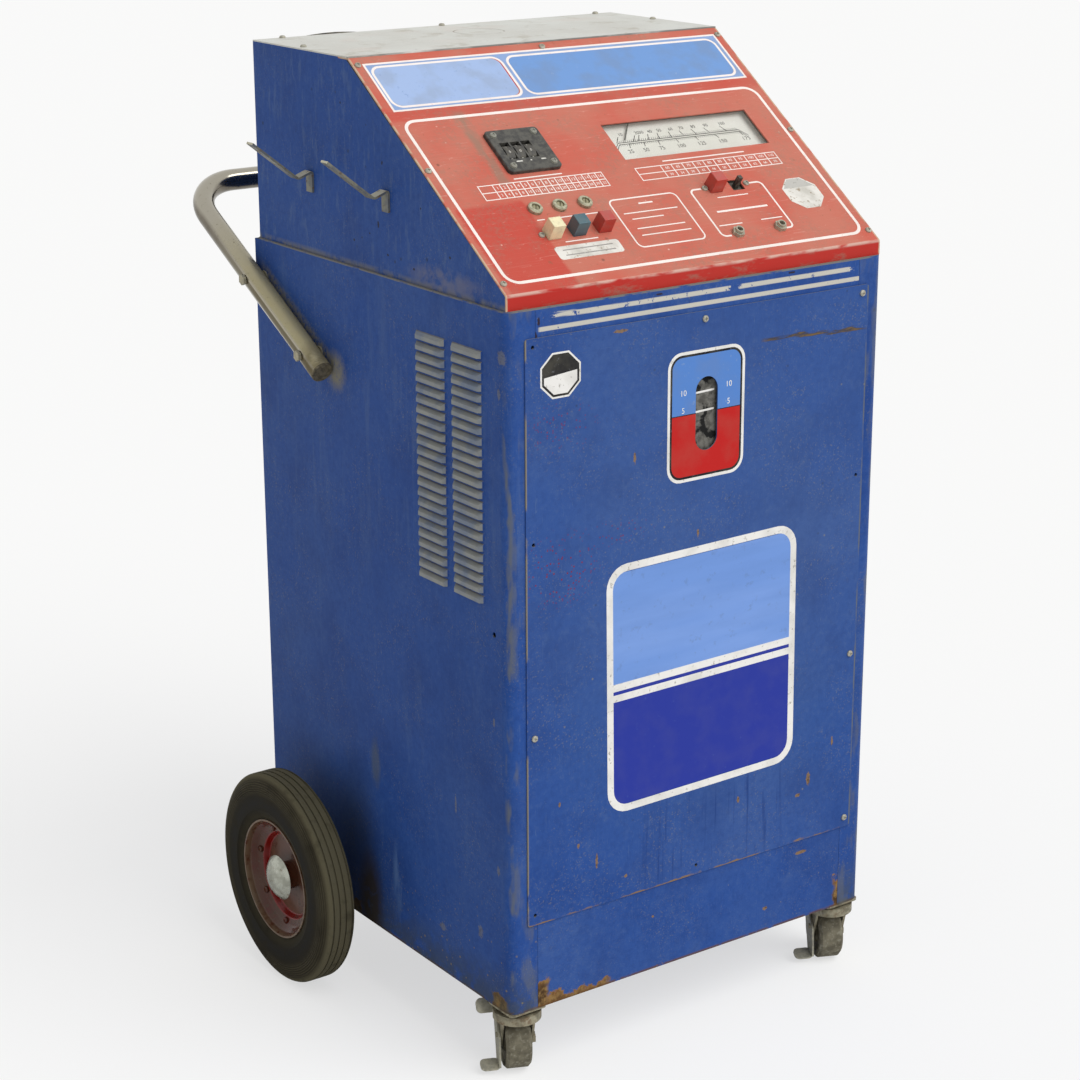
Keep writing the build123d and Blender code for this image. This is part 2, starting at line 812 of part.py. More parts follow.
def thumbwheel(index):
    """One numbered wheel of flat faces, turning on the frame's pin."""
    u = thumb_wheel_u[index]
    slot_middle = (thumb_slot_w[0] + thumb_slot_w[1]) / 2
    centre = slope_plane.from_local_coords(Vector(u - thumb_wheel_width / 2, slot_middle, -thumb_wheel_sink))
    up_slope = (0, cos(radians(slope_angle)), sin(radians(slope_angle)))
    plane = Plane(origin=centre, x_dir=up_slope, z_dir=(1, 0, 0))
    ring = RegularPolygon(thumb_wheel_radius, thumb_wheel_faces)
    ring -= Circle(thumb_pin_radius + running_clearance)
    middle = slope_plane.from_local_coords(Vector(u, slot_middle, -thumb_wheel_sink))
    joint_table["thumbwheel_" + str(index + 1)] = (tuple(middle), (1, 0, 0))
    return plane * extrude(ring, amount=thumb_wheel_width)


def lamp_bezels():
    """Three threaded lamp holders with a ring in front of the panel."""
    holders = []
    for u in lamp_u:
        ring = Cylinder(lamp_radius, lamp_height, align=upright)
        ring = chamfer(ring.edges().group_by(Axis.Z)[-1], 1.2)
        stem = rod((0, 0, -lamp_stem), (0, 0, 1), lamp_stem_radius, lamp_stem)
        bore = rod((0, 0, -lamp_stem + lamp_floor), (0, 0, 1), lamp_bore, lamp_stem + 10)
        holders.append(on_panel(u, lamp_w) * (ring + stem - bore))
    return Compound(holders)


def lamp_lenses():
    """Domed lenses in the lamp holders, each with a slot across it."""
    lenses = []
    foot = -lamp_stem + lamp_floor
    for u in lamp_u:
        lens = rod((0, 0, foot), (0, 0, 1), lamp_bore, lens_top - foot)
        lens = fillet(lens.edges().group_by(Axis.Z)[-1], 1.6)
        lens -= Pos(0, 0, lens_top) * Rot(0, 0, 60) * Box(3 * lamp_bore, lens_slot, 2 * lens_slot_depth)
        lenses.append(on_panel(u, lamp_w) * lens)
    return Compound(lenses)


def switch_body(u_span, centres, w):
    """Housing behind the panel: a pocket and a guide bore for each push button."""
    half = cap_length / 2 + switch_foot / 2
    body = panel_box(u_span, (w - half, w + half), (-sheet - switch_depth, -sheet))
    half_u = cap_width / 2 + cap_clearance
    half_w = cap_length / 2 + cap_clearance
    floor = -cap_skirt - cap_travel - cap_clearance
    for u in centres:
        body -= panel_box((u - half_u, u + half_u), (w - half_w, w + half_w), (floor, 1))
        depth = floor - stem_length - cap_travel
        body -= panel_rod(u, w, (depth, 1), stem_radius + running_clearance)
    return body


def switch_bodies():
    bank = switch_body((bank_screw_u - switch_rim, cap_u[-1] + cap_width), cap_u, cap_w)
    bank -= panel_rod(bank_screw_u, cap_w, (-sheet - 6, 1), screw_hole / 2)
    ends = (probe_screw_u[0] - 5, probe_screw_u[1] + 5)
    probe = switch_body(ends, (probe_cap_u, plunger_u), probe_w)
    probe -= [panel_rod(u, probe_w, (-sheet - 6, 1), screw_hole / 2) for u in probe_screw_u]
    return Compound([bank, probe])


def push_cap(u, w, name):
    """Square button: a tapered cap over a skirt, on a round stem in its guide bore."""
    skirt = Pos(0, 0, -cap_skirt) * extrude(Rectangle(cap_width, cap_length), amount=cap_skirt)
    cap = extrude(Rectangle(cap_width, cap_length), amount=cap_height, taper=cap_taper)
    cap = fillet(cap.edges().group_by(Axis.Z)[-1], 0.8)
    stem = rod((0, 0, -cap_skirt - stem_length), (0, 0, 1), stem_radius, stem_length)
    origin = slope_plane.from_local_coords(Vector(u, w, 0))
    joint_table[name] = (tuple(origin), tuple(-c for c in slope_normal))
    return on_panel(u, w) * (skirt + cap + stem)


def probe_plunger():
    """Bare plunger of the probe switch, whose cap is lost."""
    foot = Pos(0, 0, -cap_skirt - cap_clearance) * extrude(Rectangle(cap_width, cap_length), amount=2.5)
    post = extrude(Rectangle(plunger_side, plunger_side), amount=cap_skirt + plunger_height)
    post = Pos(0, 0, -cap_skirt) * post
    stem = rod((0, 0, -cap_skirt - stem_length), (0, 0, 1), stem_radius, stem_length)
    origin = slope_plane.from_local_coords(Vector(plunger_u, probe_w, 0))
    joint_table["probe_plunger"] = (tuple(origin), tuple(-c for c in slope_normal))
    return on_panel(plunger_u, probe_w) * (foot + post + stem)


def probe_jacks():
    """Two threaded sockets for temperature probes, each held by a hexagon nut."""
    jacks = []
    for u in jack_u:
        barrel = rod((0, 0, -jack_depth), (0, 0, 1), jack_radius, jack_depth + jack_height)
        barrel += Pos(0, 0, -sheet - 3) * Cylinder(jack_radius + 3, 3, align=upright)
        bore = rod((0, 0, -jack_depth), (0, 0, 1), jack_bore, jack_depth + jack_height + 1)
        nut_outline = RegularPolygon(jack_nut_flats / 2, 6, major_radius=False) - Circle(jack_radius)
        nut = extrude(nut_outline, amount=jack_nut)
        jacks += [on_panel(u, jack_w) * (barrel - bore), on_panel(u, jack_w) * nut]
    return Compound(jacks)


# Hose hooks on the console's left side

def hose_hook(y):
    """Bent strip: a tab on the wall, a short shelf and a long arm that rises outwards."""
    wall = -console_half
    top = hook_foot_z + hook_tab
    shelf = (wall - hook_strip - hook_shelf_out, top - hook_shelf_drop)
    tip = (shelf[0] - hook_arm_out, shelf[1] + hook_arm_rise)
    line = FilletPolyline((wall, hook_foot_z), (wall, top), shelf, tip, radius=hook_bend)
    strip = make_face(offset(line, amount=hook_strip, side=Side.LEFT, closed=True))
    hook = Pos(0, y + hook_width / 2, 0) * (Plane.XZ * extrude(strip, amount=hook_width))
    return hook


def hose_hooks():
    return Compound([hose_hook(y) for y in hook_y])


# Push handle

handle_x = half_width + handle_standoff + handle_radius
rise = (cos(radians(handle_rise)), sin(radians(handle_rise)))
bar_y = handle_end_y + handle_reach * rise[0]
bar_z = handle_end_z + handle_reach * rise[1]


def handle_tube():
    """Tube bent to a U: two arms up along the sides and a bar behind the cabinet."""
    path = FilletPolyline(
        (-handle_x, handle_end_y, handle_end_z),
        (-handle_x, bar_y, bar_z),
        (handle_x, bar_y, bar_z),
        (handle_x, handle_end_y, handle_end_z),
        radius=handle_bend,
    )
    start = Plane(origin=path @ 0, z_dir=path % 0)
    tube = sweep(start * (Circle(handle_radius) - Circle(handle_radius - handle_wall)), path=path)
    for y in handle_bolt_y:
        tube -= rod((-handle_x - 20, y, handle_line_z(y)), (1, 0, 0), handle_bolt_radius, 2 * handle_x + 40)
    return tube


def handle_plugs():
    """Caps that close the lower ends of the tube."""
    plugs = []
    for x in (-handle_x, handle_x):
        end = Plane(origin=(x, handle_end_y, handle_end_z), z_dir=(0, -rise[0], -rise[1]))
        cap = end * Cylinder(handle_radius, plug_cap, align=upright)
        cap = fillet(cap.edges().sort_by(Axis.Y)[0], 1.2)
        core = end * Pos(0, 0, -plug_depth) * Cylinder(handle_radius - handle_wall, plug_depth, align=upright)
        plugs.append(cap + core)
    return Compound(plugs)


def hexagon(flats, height):
    return extrude(RegularPolygon(flats / 2, 6, major_radius=False), amount=height)


def handle_bolts():
    """Bolts through the tube and the side, with a standoff washer between them and a nut inside."""
    fittings = []
    outer = handle_x + handle_radius
    for y in handle_bolt_y:
        z = handle_line_z(y)
        for side in (-1, 1):
            out = Plane(origin=(side * outer, y, z), z_dir=(side, 0, 0))
            inside = Plane(origin=(side * (half_width - sheet), y, z), z_dir=(-side, 0, 0))
            gap = Plane(origin=(side * half_width, y, z), z_dir=(side, 0, 0))
            bolt = out * hexagon(2 * handle_head, handle_head_height)
            length = 2 * handle_radius + handle_standoff + sheet + handle_head_height
            bolt += out * Pos(0, 0, -length) * Cylinder(handle_bolt_radius, length, align=upright)
            bolt += inside * hexagon(2 * handle_head, handle_head_height)
            washer_ring = Circle(handle_head + 2) - Circle(handle_bolt_radius)
            washer = gap * extrude(washer_ring, amount=handle_standoff)
            fittings += [bolt, washer]
    return Compound(fittings)


# Rear wheels on their axle

wheel_x = half_width + wheel_gap + wheel_width / 2
axle_end = wheel_x + hub_outer + axle_overhang


def rear_axle():
    """Axle through both sides, with a spacer sleeve between each side and its wheel."""
    pieces = [rod((-axle_end, wheel_y, wheel_radius), (1, 0, 0), axle_radius, 2 * axle_end)]
    inner = half_width
    outer = wheel_x - hub_inner - cap_clearance
    for side in (-1, 1):
        plane = Plane(origin=(side * inner, wheel_y, wheel_radius), z_dir=(side, 0, 0))
        sleeve = extrude(Circle(spacer_radius) - Circle(axle_radius), amount=outer - inner)
        pieces.append(plane * sleeve)
    return Compound(pieces)


def wheel_plane():
    """Plane in the middle of the left wheel, its normal pointing away from the cabinet."""
    return Plane(origin=(-wheel_x, wheel_y, wheel_radius), x_dir=(0, -1, 0), z_dir=(-1, 0, 0))


def spun(points, rounded=()):
    """Ring turned round the wheel's axis from a profile of radius and distance outwards."""
    profile = make_face(Polyline(*points, close=True))
    for index, radius in rounded:
        x, y = points[index]
        corner = [v for v in profile.vertices() if abs(v.X - x) + abs(v.Y - y) < 0.01]
        profile = fillet(corner, radius)
    return revolve(Plane.XZ * profile, Axis.Z)


def tyre():
    """Semi-pneumatic tyre with square shoulders and grooves round its tread."""
    half = wheel_width / 2
    points = [
        (rim_radius, -half + rim_bead_inset), (rim_radius + bead_slope, -half),
        (wheel_radius - tread_shoulder, -half), (wheel_radius, -half + tread_shoulder / 2),
        (wheel_radius, half - tread_shoulder / 2), (wheel_radius - tread_shoulder, half),
        (rim_radius + bead_slope, half), (rim_radius, half - rim_bead_inset),
    ]
    ring = spun(points, [(2, 14.0), (5, 14.0), (3, 5.0), (4, 5.0)])
    for i in range(tread_grooves):
        middle = (i - (tread_grooves - 1) / 2) * tread_spacing
        groove = Circle(wheel_radius + 2) - Circle(wheel_radius - tread_groove_depth)
        ring -= Pos(0, 0, middle - tread_groove_width / 2) * extrude(groove, amount=tread_groove_width)
    return wheel_plane() * ring


def rim():
    """Pressed steel rim, a bowl with a recess round the hub and rivets, and the hub tube in it."""
    half = wheel_width / 2
    steel = rim_steel
    barrel = rim_radius - steel
    lip = half - rim_lip_inset
    bead = -half + rim_bead_inset
    points = [
        (hub_radius, rim_recess_floor), (rim_recess_radius, rim_recess_floor), rim_bowl_foot,
        rim_bowl_middle, rim_bowl_head, (barrel, lip), (rim_radius, lip), (rim_radius, bead), (barrel, bead),
        (barrel, rim_bowl_head[1] - 1.4 * steel), (rim_bowl_middle[0] + 1, rim_bowl_middle[1] - steel),
        (rim_bowl_foot[0] + 1.5, rim_bowl_foot[1] - steel),
        (rim_recess_radius + 1.5, rim_recess_floor - steel), (hub_radius, rim_recess_floor - steel),
    ]
    pressed = spun(points, [(1, 1.5), (2, 1.2), (3, 7.0), (4, 4.0), (12, 3.0), (10, 6.0)])
    climb = (rim_rivet_circle - rim_bowl_foot[0]) / (rim_bowl_middle[0] - rim_bowl_foot[0])
    seat = rim_bowl_foot[1] + climb * (rim_bowl_middle[1] - rim_bowl_foot[1])
    for i in range(rim_rivets):
        turn = Rot(0, 0, rim_rivet_phase + 360 / rim_rivets * i)
        head = rod((0, 0, -steel / 2), (0, 0, 1), rim_rivet_radius, steel / 2 + rim_rivet_height)
        head = fillet(head.edges().group_by(Axis.Z)[-1], rim_rivet_height * 0.8)
        pressed += turn * Pos(rim_rivet_circle, 0, seat) * head
    bore = axle_radius + running_clearance
    hub = Pos(0, 0, -hub_inner) * extrude(Circle(hub_radius) - Circle(bore), amount=hub_inner + hub_outer)
    return wheel_plane() * Compound([pressed, hub])


def hub_cap():
    """Domed cap pressed over the end of the axle."""
    base = hub_outer
    cavity = axle_overhang + 1.5
    rise_height = hub_cap_height
    sphere = (hub_cap_radius ** 2 + rise_height ** 2) / (2 * rise_height)
    dome = Pos(0, 0, base + rise_height - sphere) * Sphere(sphere)
    keep = Pos(0, 0, base) * Cylinder(hub_cap_radius, rise_height + 1, align=upright)
    hollow = Pos(0, 0, base - 1) * Cylinder(axle_radius + 1, cavity + 1, align=upright)
    return wheel_plane() * ((dome & keep) - hollow)


# Front casters

def turned(side):
    """Place of a caster's swivel pin on the floor, with its X along the wheel's axle."""
    return Pos(side * caster_x, caster_y, 0) * Rot(0, 0, caster_yaw)


plate_z = cabinet_bottom - caster_plate[2]
race_z = plate_z - caster_race
crown_top = race_z - caster_gap
crown_z = crown_top - caster_crown
leg_inner = caster_wheel_width / 2 + caster_side_gap
leg_outer = leg_inner + caster_leg


def plate_bolt_spots():
    """Centres of the bolts at the corners of both mounting plates."""
    reach = caster_plate[0] / 2 - caster_bolt_inset
    return [
        (side * caster_x + across * reach, caster_y + ahead * reach)
        for side in (-1, 1) for across in (-1, 1) for ahead in (-1, 1)
    ]


def caster_plates():
    """Mounting plates bolted to the base pan, each with the upper ball race."""
    pieces = []
    for side in (-1, 1):
        plate = Pos(side * caster_x, caster_y, plate_z) * extrude(
            RectangleRounded(caster_plate[0], caster_plate[1], 5), amount=caster_plate[2]
        )
        plate += rod((side * caster_x, caster_y, race_z), (0, 0, 1), caster_race_radius, caster_race)
        pin_hole = rod(
            (side * caster_x, caster_y, race_z - 1), (0, 0, 1),
            kingpin_radius + running_clearance, caster_race + caster_plate[2],
        )
        holes = [rod((x, y, plate_z - 1), (0, 0, 1), caster_plate_bolt, 6) for x, y in plate_bolt_spots()]
        pieces.append(plate - pin_hole - holes)
    for x, y in plate_bolt_spots():
        head_z = plate_z - caster_plate_head_height
        head = rod((x, y, head_z), (0, 0, 1), caster_plate_head, caster_plate_head_height)
        shank = rod((x, y, plate_z), (0, 0, 1), caster_plate_bolt, caster_plate[2] + sheet + 2)
        pieces.append(head + shank)
    return Compound(pieces)


def caster_fork(side):
    """Swivelling fork: a round crown with a kingpin, two legs and the wheel's axle bolt."""
    crown = rod((0, 0, crown_z), (0, 0, 1), caster_crown_radius, caster_crown)
    hollow_radius = caster_crown_radius - caster_crown_wall
    hollow = rod((0, 0, crown_z - 1), (0, 0, 1), hollow_radius, caster_crown - caster_crown_wall + 1)
    fork = crown - hollow
    fork += rod((0, 0, crown_top), (0, 0, 1), kingpin_radius, caster_race + caster_plate[2] - 1)
    top_w = caster_leg_width / 2
    foot = caster_leg_foot
    for way in (-1, 1):
        points = [
            (-top_w, crown_z + caster_crown - 1), (top_w, crown_z + caster_crown - 1),
            (caster_trail + foot, caster_wheel_radius), (caster_trail, caster_wheel_radius - foot),
            (caster_trail - foot, caster_wheel_radius),
        ]
        blade = make_face(Polyline(*points, close=True))
        blade = fillet(blade.vertices().group_by(Axis.Y)[0], foot * 0.6)
        inner = leg_inner if way > 0 else -leg_outer
        fork += Pos(inner, 0, 0) * extrude(Plane.YZ * blade, amount=caster_leg, dir=(1, 0, 0))
    left_out = -leg_outer - 1
    pivot_y = caster_trail - brake_pivot_ahead
    fork -= rod((left_out, caster_trail, caster_wheel_radius), (1, 0, 0), caster_bolt_radius, -2 * left_out)
    fork -= rod((left_out, pivot_y, brake_pivot_z), (1, 0, 0), brake_pivot_radius, 2)
    pivot = rod(
        (-leg_outer - brake_gap - brake_plate - 1.5, pivot_y, brake_pivot_z),
        (1, 0, 0), brake_pivot_radius, brake_gap + brake_plate + 1.5 + caster_leg,
    )
    fork += pivot
    bolt = rod((-leg_outer, caster_trail, caster_wheel_radius), (1, 0, 0), caster_bolt_radius, 2 * leg_outer)
    nut = hexagon(caster_nut_flats, caster_nut)
    bolt += Plane(origin=(leg_outer, caster_trail, caster_wheel_radius), z_dir=(1, 0, 0)) * nut
    joint_table["caster_swivel_" + side_name(side)] = ((side * caster_x, caster_y, plate_z), (0, 0, 1))
    return Compound([turned(side) * fork, turned(side) * bolt])


def caster_wheel(side):
    """Solid rubber wheel with a plain bore."""
    half = caster_wheel_width / 2
    tread = spun_wheel(caster_wheel_radius, half)
    tread -= Pos(0, 0, -half - 1) * Cylinder(
        caster_bolt_radius + running_clearance, caster_wheel_width + 2, align=upright
    )
    place = Plane(origin=(0, caster_trail, caster_wheel_radius), x_dir=(0, 1, 0), z_dir=(1, 0, 0))
    point = turned(side) * Pos(0, caster_trail, caster_wheel_radius)
    joint_table["caster_roll_" + side_name(side)] = (
        tuple(point.position), (cos(radians(caster_yaw)), sin(radians(caster_yaw)), 0),
    )
    return turned(side) * (place * tread)


def spun_wheel(radius, half):
    """Wheel body with a crowned tread and a recess in each side."""
    points = [
        (0, -half), (11, -half), (13, -half + 2.5), (22, -half + 2.5), (24, -half), (radius - 3, -half),
        (radius, -half + 3), (radius, half - 3), (radius - 3, half), (24, half), (22, half - 2.5),
        (13, half - 2.5), (11, half), (0, half),
    ]
    return revolve(Plane.XZ * make_face(Polyline(*points, close=True)), Axis.Z)


def side_name(side):
    return "left" if side < 0 else "right"


def caster_brake(side):
    """Rocker on the outside of the left leg, with a foot pad at each end."""
    pivot_y = caster_trail - brake_pivot_ahead
    points = [
        (pivot_y + 15, brake_top), (pivot_y + 26, brake_top), (pivot_y + 17, brake_pivot_z),
        (pivot_y + 5, brake_foot), (pivot_y - 13, brake_foot), (pivot_y - 10, brake_pivot_z),
        (pivot_y + 14, crown_z - 3),
    ]
    blade = make_face(Polyline(*points, close=True))
    blade = fillet(blade.vertices(), 2.5)
    outer = -leg_outer - brake_gap - brake_plate
    plate = Pos(outer, 0, 0) * extrude(Plane.YZ * blade, amount=brake_plate, dir=(1, 0, 0))
    high = Plane(origin=(outer, pivot_y + 20, brake_top - 6), x_dir=(-1, 0, 0), z_dir=(0, 0.8, -0.6))
    low = Plane(origin=(outer, pivot_y - 4, brake_foot + 1), x_dir=(-1, 0, 0), z_dir=(0, -0.3, 0.95))
    pad = Pos(brake_pad_out / 2 - 1, 0, 0) * extrude(
        RectangleRounded(brake_pad_out + 2, brake_pad_width, 6), amount=brake_plate
    )
    plate += high * pad
    plate += low * pad
    hole_radius = brake_pivot_radius + running_clearance
    plate -= rod((outer - 1, pivot_y, brake_pivot_z), (1, 0, 0), hole_radius, brake_plate + 3)
    point = turned(side) * Pos(outer, pivot_y, brake_pivot_z)
    joint_table["caster_brake_" + side_name(side)] = (
        tuple(point.position), (cos(radians(caster_yaw)), sin(radians(caster_yaw)), 0),
    )
    return turned(side) * plate


# Supply tank, its scale and the level flag

platform_z = shelf_z + sheet + scale_height + platform_lift


def scale_shelf():
    """Shelf across the cabinet with the spring housing of the scale standing on it."""
    half = half_width - sheet
    back = half_depth - sheet
    top = shelf_z + sheet
    points = [(back, top), (shelf_front, top), (shelf_front, top - fold_lip)]
    face = Plane.YZ * folded(points, 2 * sheet)
    shelf = Pos(-half, 0, 0) * extrude(face, amount=2 * half, dir=(1, 0, 0))
    housing = rod((0, tank_y, top), (0, 0, 1), scale_radius, scale_height)
    housing -= rod((0, tank_y, top + 3), (0, 0, 1), scale_stem_radius + running_clearance, scale_height)
    return Compound([shelf, housing])


def tank_platform():
    """Round platform whose stem slides in the scale's housing."""
    disc = rod((0, tank_y, platform_z), (0, 0, 1), platform_radius, platform_floor)
    ring = extrude(Circle(platform_radius) - Circle(platform_radius - 2), amount=platform_rim)
    disc += Pos(0, tank_y, platform_z) * ring
    stem_foot = shelf_z + sheet + 4
    disc += rod((0, tank_y, stem_foot), (0, 0, 1), scale_stem_radius, platform_z - stem_foot)
    joint_table["scale_slide"] = ((0, tank_y, platform_z), (0, 0, 1))
    return disc


def tank_half_section(base, wall):
    """Half section of the tank's body, set in by the wall thickness."""
    radius = tank_radius - wall
    top = base + tank_height
    return make_face(Polyline(
        (0, base - 12 + wall), (tank_foot_radius - wall, base + wall),
        (radius, base + tank_dome * 0.6), (radius, top),
        (radius * 0.86, top + tank_dome * 0.55 - wall / 2),
        (radius * 0.5, top + tank_dome * 0.9 - wall), (0, top + tank_dome - wall), close=True,
    ))


def supply_tank():
    """Refrigerant cylinder: hollow body, foot ring, collar with hand holes and a valve."""
    stand = platform_z + platform_floor
    base = stand + tank_foot
    outside = revolve(Plane.XZ * tank_half_section(base, 0), Axis.Z)
    body = outside - revolve(Plane.XZ * tank_half_section(base, tank_wall), Axis.Z)
    foot_ring = Circle(tank_foot_radius) - Circle(tank_foot_radius - tank_ring_wall)
    foot = Pos(0, 0, stand) * extrude(foot_ring, amount=tank_foot + 2) - outside
    top = base + tank_height + tank_dome * 0.6
    collar_ring = Circle(tank_collar_radius) - Circle(tank_collar_radius - tank_ring_wall)
    collar = Pos(0, 0, top) * extrude(collar_ring, amount=tank_collar_height)
    for angle in (0, 90):
        place = Pos(0, 0, top + tank_collar_height * 0.6) * Rot(0, 0, angle)
        collar -= place * Box(tank_hand_hole, 4 * tank_collar_radius, tank_collar_height * 0.36)
    collar -= outside
    neck = base + tank_height + tank_dome - 4
    valve = rod((0, 0, neck), (0, 0, 1), tank_valve_radius, tank_valve_height)
    valve += rod((0, 0, neck + tank_valve_height - 2), (0, 0, 1), tank_wheel_radius, tank_wheel_height)
    valve -= outside
    return Pos(0, tank_y, 0) * Compound([body, foot, collar, valve])


def level_flag():
    """Bent strip from the platform to the front, with the flag that shows in the sight slot."""
    plate_y = front_y + sheet + flag_back
    start = tank_y - platform_radius + 4
    arm_z = platform_z - flag_strip
    half_arm = flag_arm_width / 2
    half_flag = flag_width / 2
    plate_back = plate_y + flag_strip
    strip = box_between((slot_x - half_arm, plate_y, arm_z), (slot_x + half_arm, start, arm_z + flag_strip))
    strip += box_between((slot_x - half_arm, plate_y, arm_z), (slot_x + half_arm, plate_back, flag_top))
    strip += box_between((slot_x - half_flag, plate_y, flag_bottom), (slot_x + half_flag, plate_back, flag_top))
    return strip


# Vacuum pump, valves, circuit box and rear fittings

def vacuum_pump():
    """Electric motor on its feet and the pump block on its end."""
    floor = cabinet_bottom + sheet
    left = motor_x - motor_length / 2
    right = motor_x + motor_length / 2
    motor = rod((left, pump_y, pump_axis_z), (1, 0, 0), motor_radius, motor_length)
    motor = fillet(motor.edges(), 6)
    feet = box_between((left + 25, pump_y - 42, floor), (right - 25, pump_y + 42, pump_axis_z - 20))
    motor += feet
    block = box_between(
        (right, pump_y - pump_block[1] / 2, floor),
        (right + pump_block[0], pump_y + pump_block[1] / 2, floor + pump_block[2]),
    )
    block = fillet(block.edges().filter_by(Axis.X), 8)
    filler = rod((right + pump_block[0] / 2, pump_y, floor + pump_block[2]), (0, 0, 1), 12, 18)
    return Compound([motor, block + filler])


def valve_manifold():
    """Block with three solenoid valves on the deck."""
    low = (manifold_x - manifold[0] / 2, manifold_y - manifold[1] / 2, cabinet_top)
    high = (low[0] + manifold[0], low[1] + manifold[1], cabinet_top + manifold[2])
    block = box_between(low, high)
    for i in range(3):
        x = low[0] + manifold[0] * (i + 0.5) / 3
        block += rod((x, manifold_y, high[2]), (0, 0, 1), valve_radius, valve_height)
    return block


def circuit_cover():
    """Sheet cover, open below, over the place of the circuit board."""
    low = (circuit_box_x - circuit_box[0] / 2, circuit_box_y - circuit_box[1] / 2, cabinet_top)
    high = (low[0] + circuit_box[0], low[1] + circuit_box[1], cabinet_top + circuit_box[2])
    cover = fillet(box_between(low, high).edges().group_by(Axis.Z)[-1], 3)
    wall = circuit_sheet
    return cover - box_between(
        (low[0] + wall, low[1] + wall, cabinet_top - 1), (high[0] - wall, high[1] - wall, high[2] - wall)
    )


def rear_fittings():
    """Two hose unions and a flanged power inlet on the console's back."""
    pieces = []
    length = port_inside + port_outside
    for x in port_x:
        stem = rod((x, console_back_y - port_inside, port_z), (0, 1, 0), port_radius, length)
        nut = Plane(origin=(x, console_back_y, port_z), z_dir=(0, 1, 0)) * hexagon(port_flats, port_nut)
        start = (x, console_back_y - port_inside - 1, port_z)
        bore = rod(start, (0, 1, 0), port_radius - port_wall, length + 2)
        pieces.append(stem + nut - bore)
    half = (inlet_size[0] / 2, inlet_size[1] / 2)
    face_y = console_back_y + inlet_size[2]
    flange = box_between(
        (inlet_x - half[0], console_back_y, port_z - half[1]), (inlet_x + half[0], face_y, port_z + half[1])
    )
    across = half[0] - inlet_body_rim[0]
    up = half[1] - inlet_body_rim[1]
    body = box_between(
        (inlet_x - across, console_back_y - inlet_depth, port_z - up), (inlet_x + across, face_y, port_z + up)
    )
    across -= inlet_pocket_wall
    up -= inlet_pocket_wall
    pocket = box_between(
        (inlet_x - across, console_back_y - inlet_pocket_depth, port_z - up),
        (inlet_x + across, face_y + 1, port_z + up),
    )
    pieces.append(flange + body - pocket)
    return Compound(pieces)


# All pieces by name

joint_table["door_hinge"] = ((hinge_x, hinge_y, hinge_bottom), (0, 0, 1))
joint_table["wheel_roll"] = ((wheel_x, wheel_y, wheel_radius), (1, 0, 0))

nodes = {
    "base_pan": base_pan(),
    "left_side_panel": side_panel(),
    "right_side_panel": mirrored(side_panel()),
    "kick_panel": kick_panel(),
    "top_rail": top_rail(),
    "front_panel": front_panel(),
    "deck": deck(),
    "back_frame": back_frame(),
    "rear_door": rear_door(),
    "hinge_frame_leaf": hinge_frame_leaf(),
    "door_latch": door_latch(),
    "console_left_side": console_side(),
    "console_right_side": mirrored(console_side()),
    "console_back": console_back(),
    "console_top": console_top(),
    "control_panel": control_panel(),
    "panel_screws": panel_screws(),
    "meter_case": meter_case(),
    "meter_dial": meter_dial_plate(),
    "meter_window": meter_window(),
    "meter_needle": meter_needle(),
    "thumbwheel_bezel": thumbwheel_bezel(),
    "thumbwheel_1": thumbwheel(0),
    "thumbwheel_2": thumbwheel(1),
    "thumbwheel_3": thumbwheel(2),
    "lamp_bezels": lamp_bezels(),
    "lamp_lenses": lamp_lenses(),
    "switch_bodies": switch_bodies(),
    "button_ivory": push_cap(cap_u[0], cap_w, "button_ivory"),
    "button_teal": push_cap(cap_u[1], cap_w, "button_teal"),
    "button_red": push_cap(cap_u[2], cap_w, "button_red"),
    "probe_button": push_cap(probe_cap_u, probe_w, "probe_button"),
    "probe_plunger": probe_plunger(),
    "probe_jacks": probe_jacks(),
    "hose_hooks": hose_hooks(),
    "handle_tube": handle_tube(),
    "handle_plugs": handle_plugs(),
    "handle_bolts": handle_bolts(),
    "rear_axle": rear_axle(),
    "left_tyre": tyre(),
    "right_tyre": mirrored(tyre()),
    "left_rim": rim(),
    "right_rim": mirrored(rim()),
    "left_hub_cap": hub_cap(),
    "right_hub_cap": mirrored(hub_cap()),
    "caster_plates": caster_plates(),
    "left_caster_fork": caster_fork(-1),
    "right_caster_fork": caster_fork(1),
    "left_caster_wheel": caster_wheel(-1),
    "right_caster_wheel": caster_wheel(1),
    "left_caster_brake": caster_brake(-1),
    "right_caster_brake": caster_brake(1),
    "scale_shelf": scale_shelf(),
    "tank_platform": tank_platform(),
    "supply_tank": supply_tank(),
    "level_flag": level_flag(),
    "vacuum_pump": vacuum_pump(),
    "valve_manifold": valve_manifold(),
    "circuit_box": circuit_cover(),
    "rear_fittings": rear_fittings(),
}

# The row origin is on the floor, in the middle of the whole object's outline.
extent = Compound([Compound(list(shape.solids())) for shape in nodes.values()]).bounding_box()
shift = Pos(-(extent.min.X + extent.max.X) / 2, -(extent.min.Y + extent.max.Y) / 2, -extent.min.Z)

os.makedirs("parts", exist_ok=True)
for name, shape in nodes.items():
    moved = shift * Compound(list(shape.solids()))
    export_step(moved, os.path.join("parts", name + ".step"))

print("origin shift", [round(c, 4) for c in shift.position])
for name, (point, axis) in joint_table.items():
    place = shift * Pos(*point)
    print("joint", name, [round(c, 4) for c in place.position], [round(c, 6) for c in axis])
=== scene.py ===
import json
import math
from functools import cached_property

import bmesh
import bpy
from mathutils import Matrix, Vector

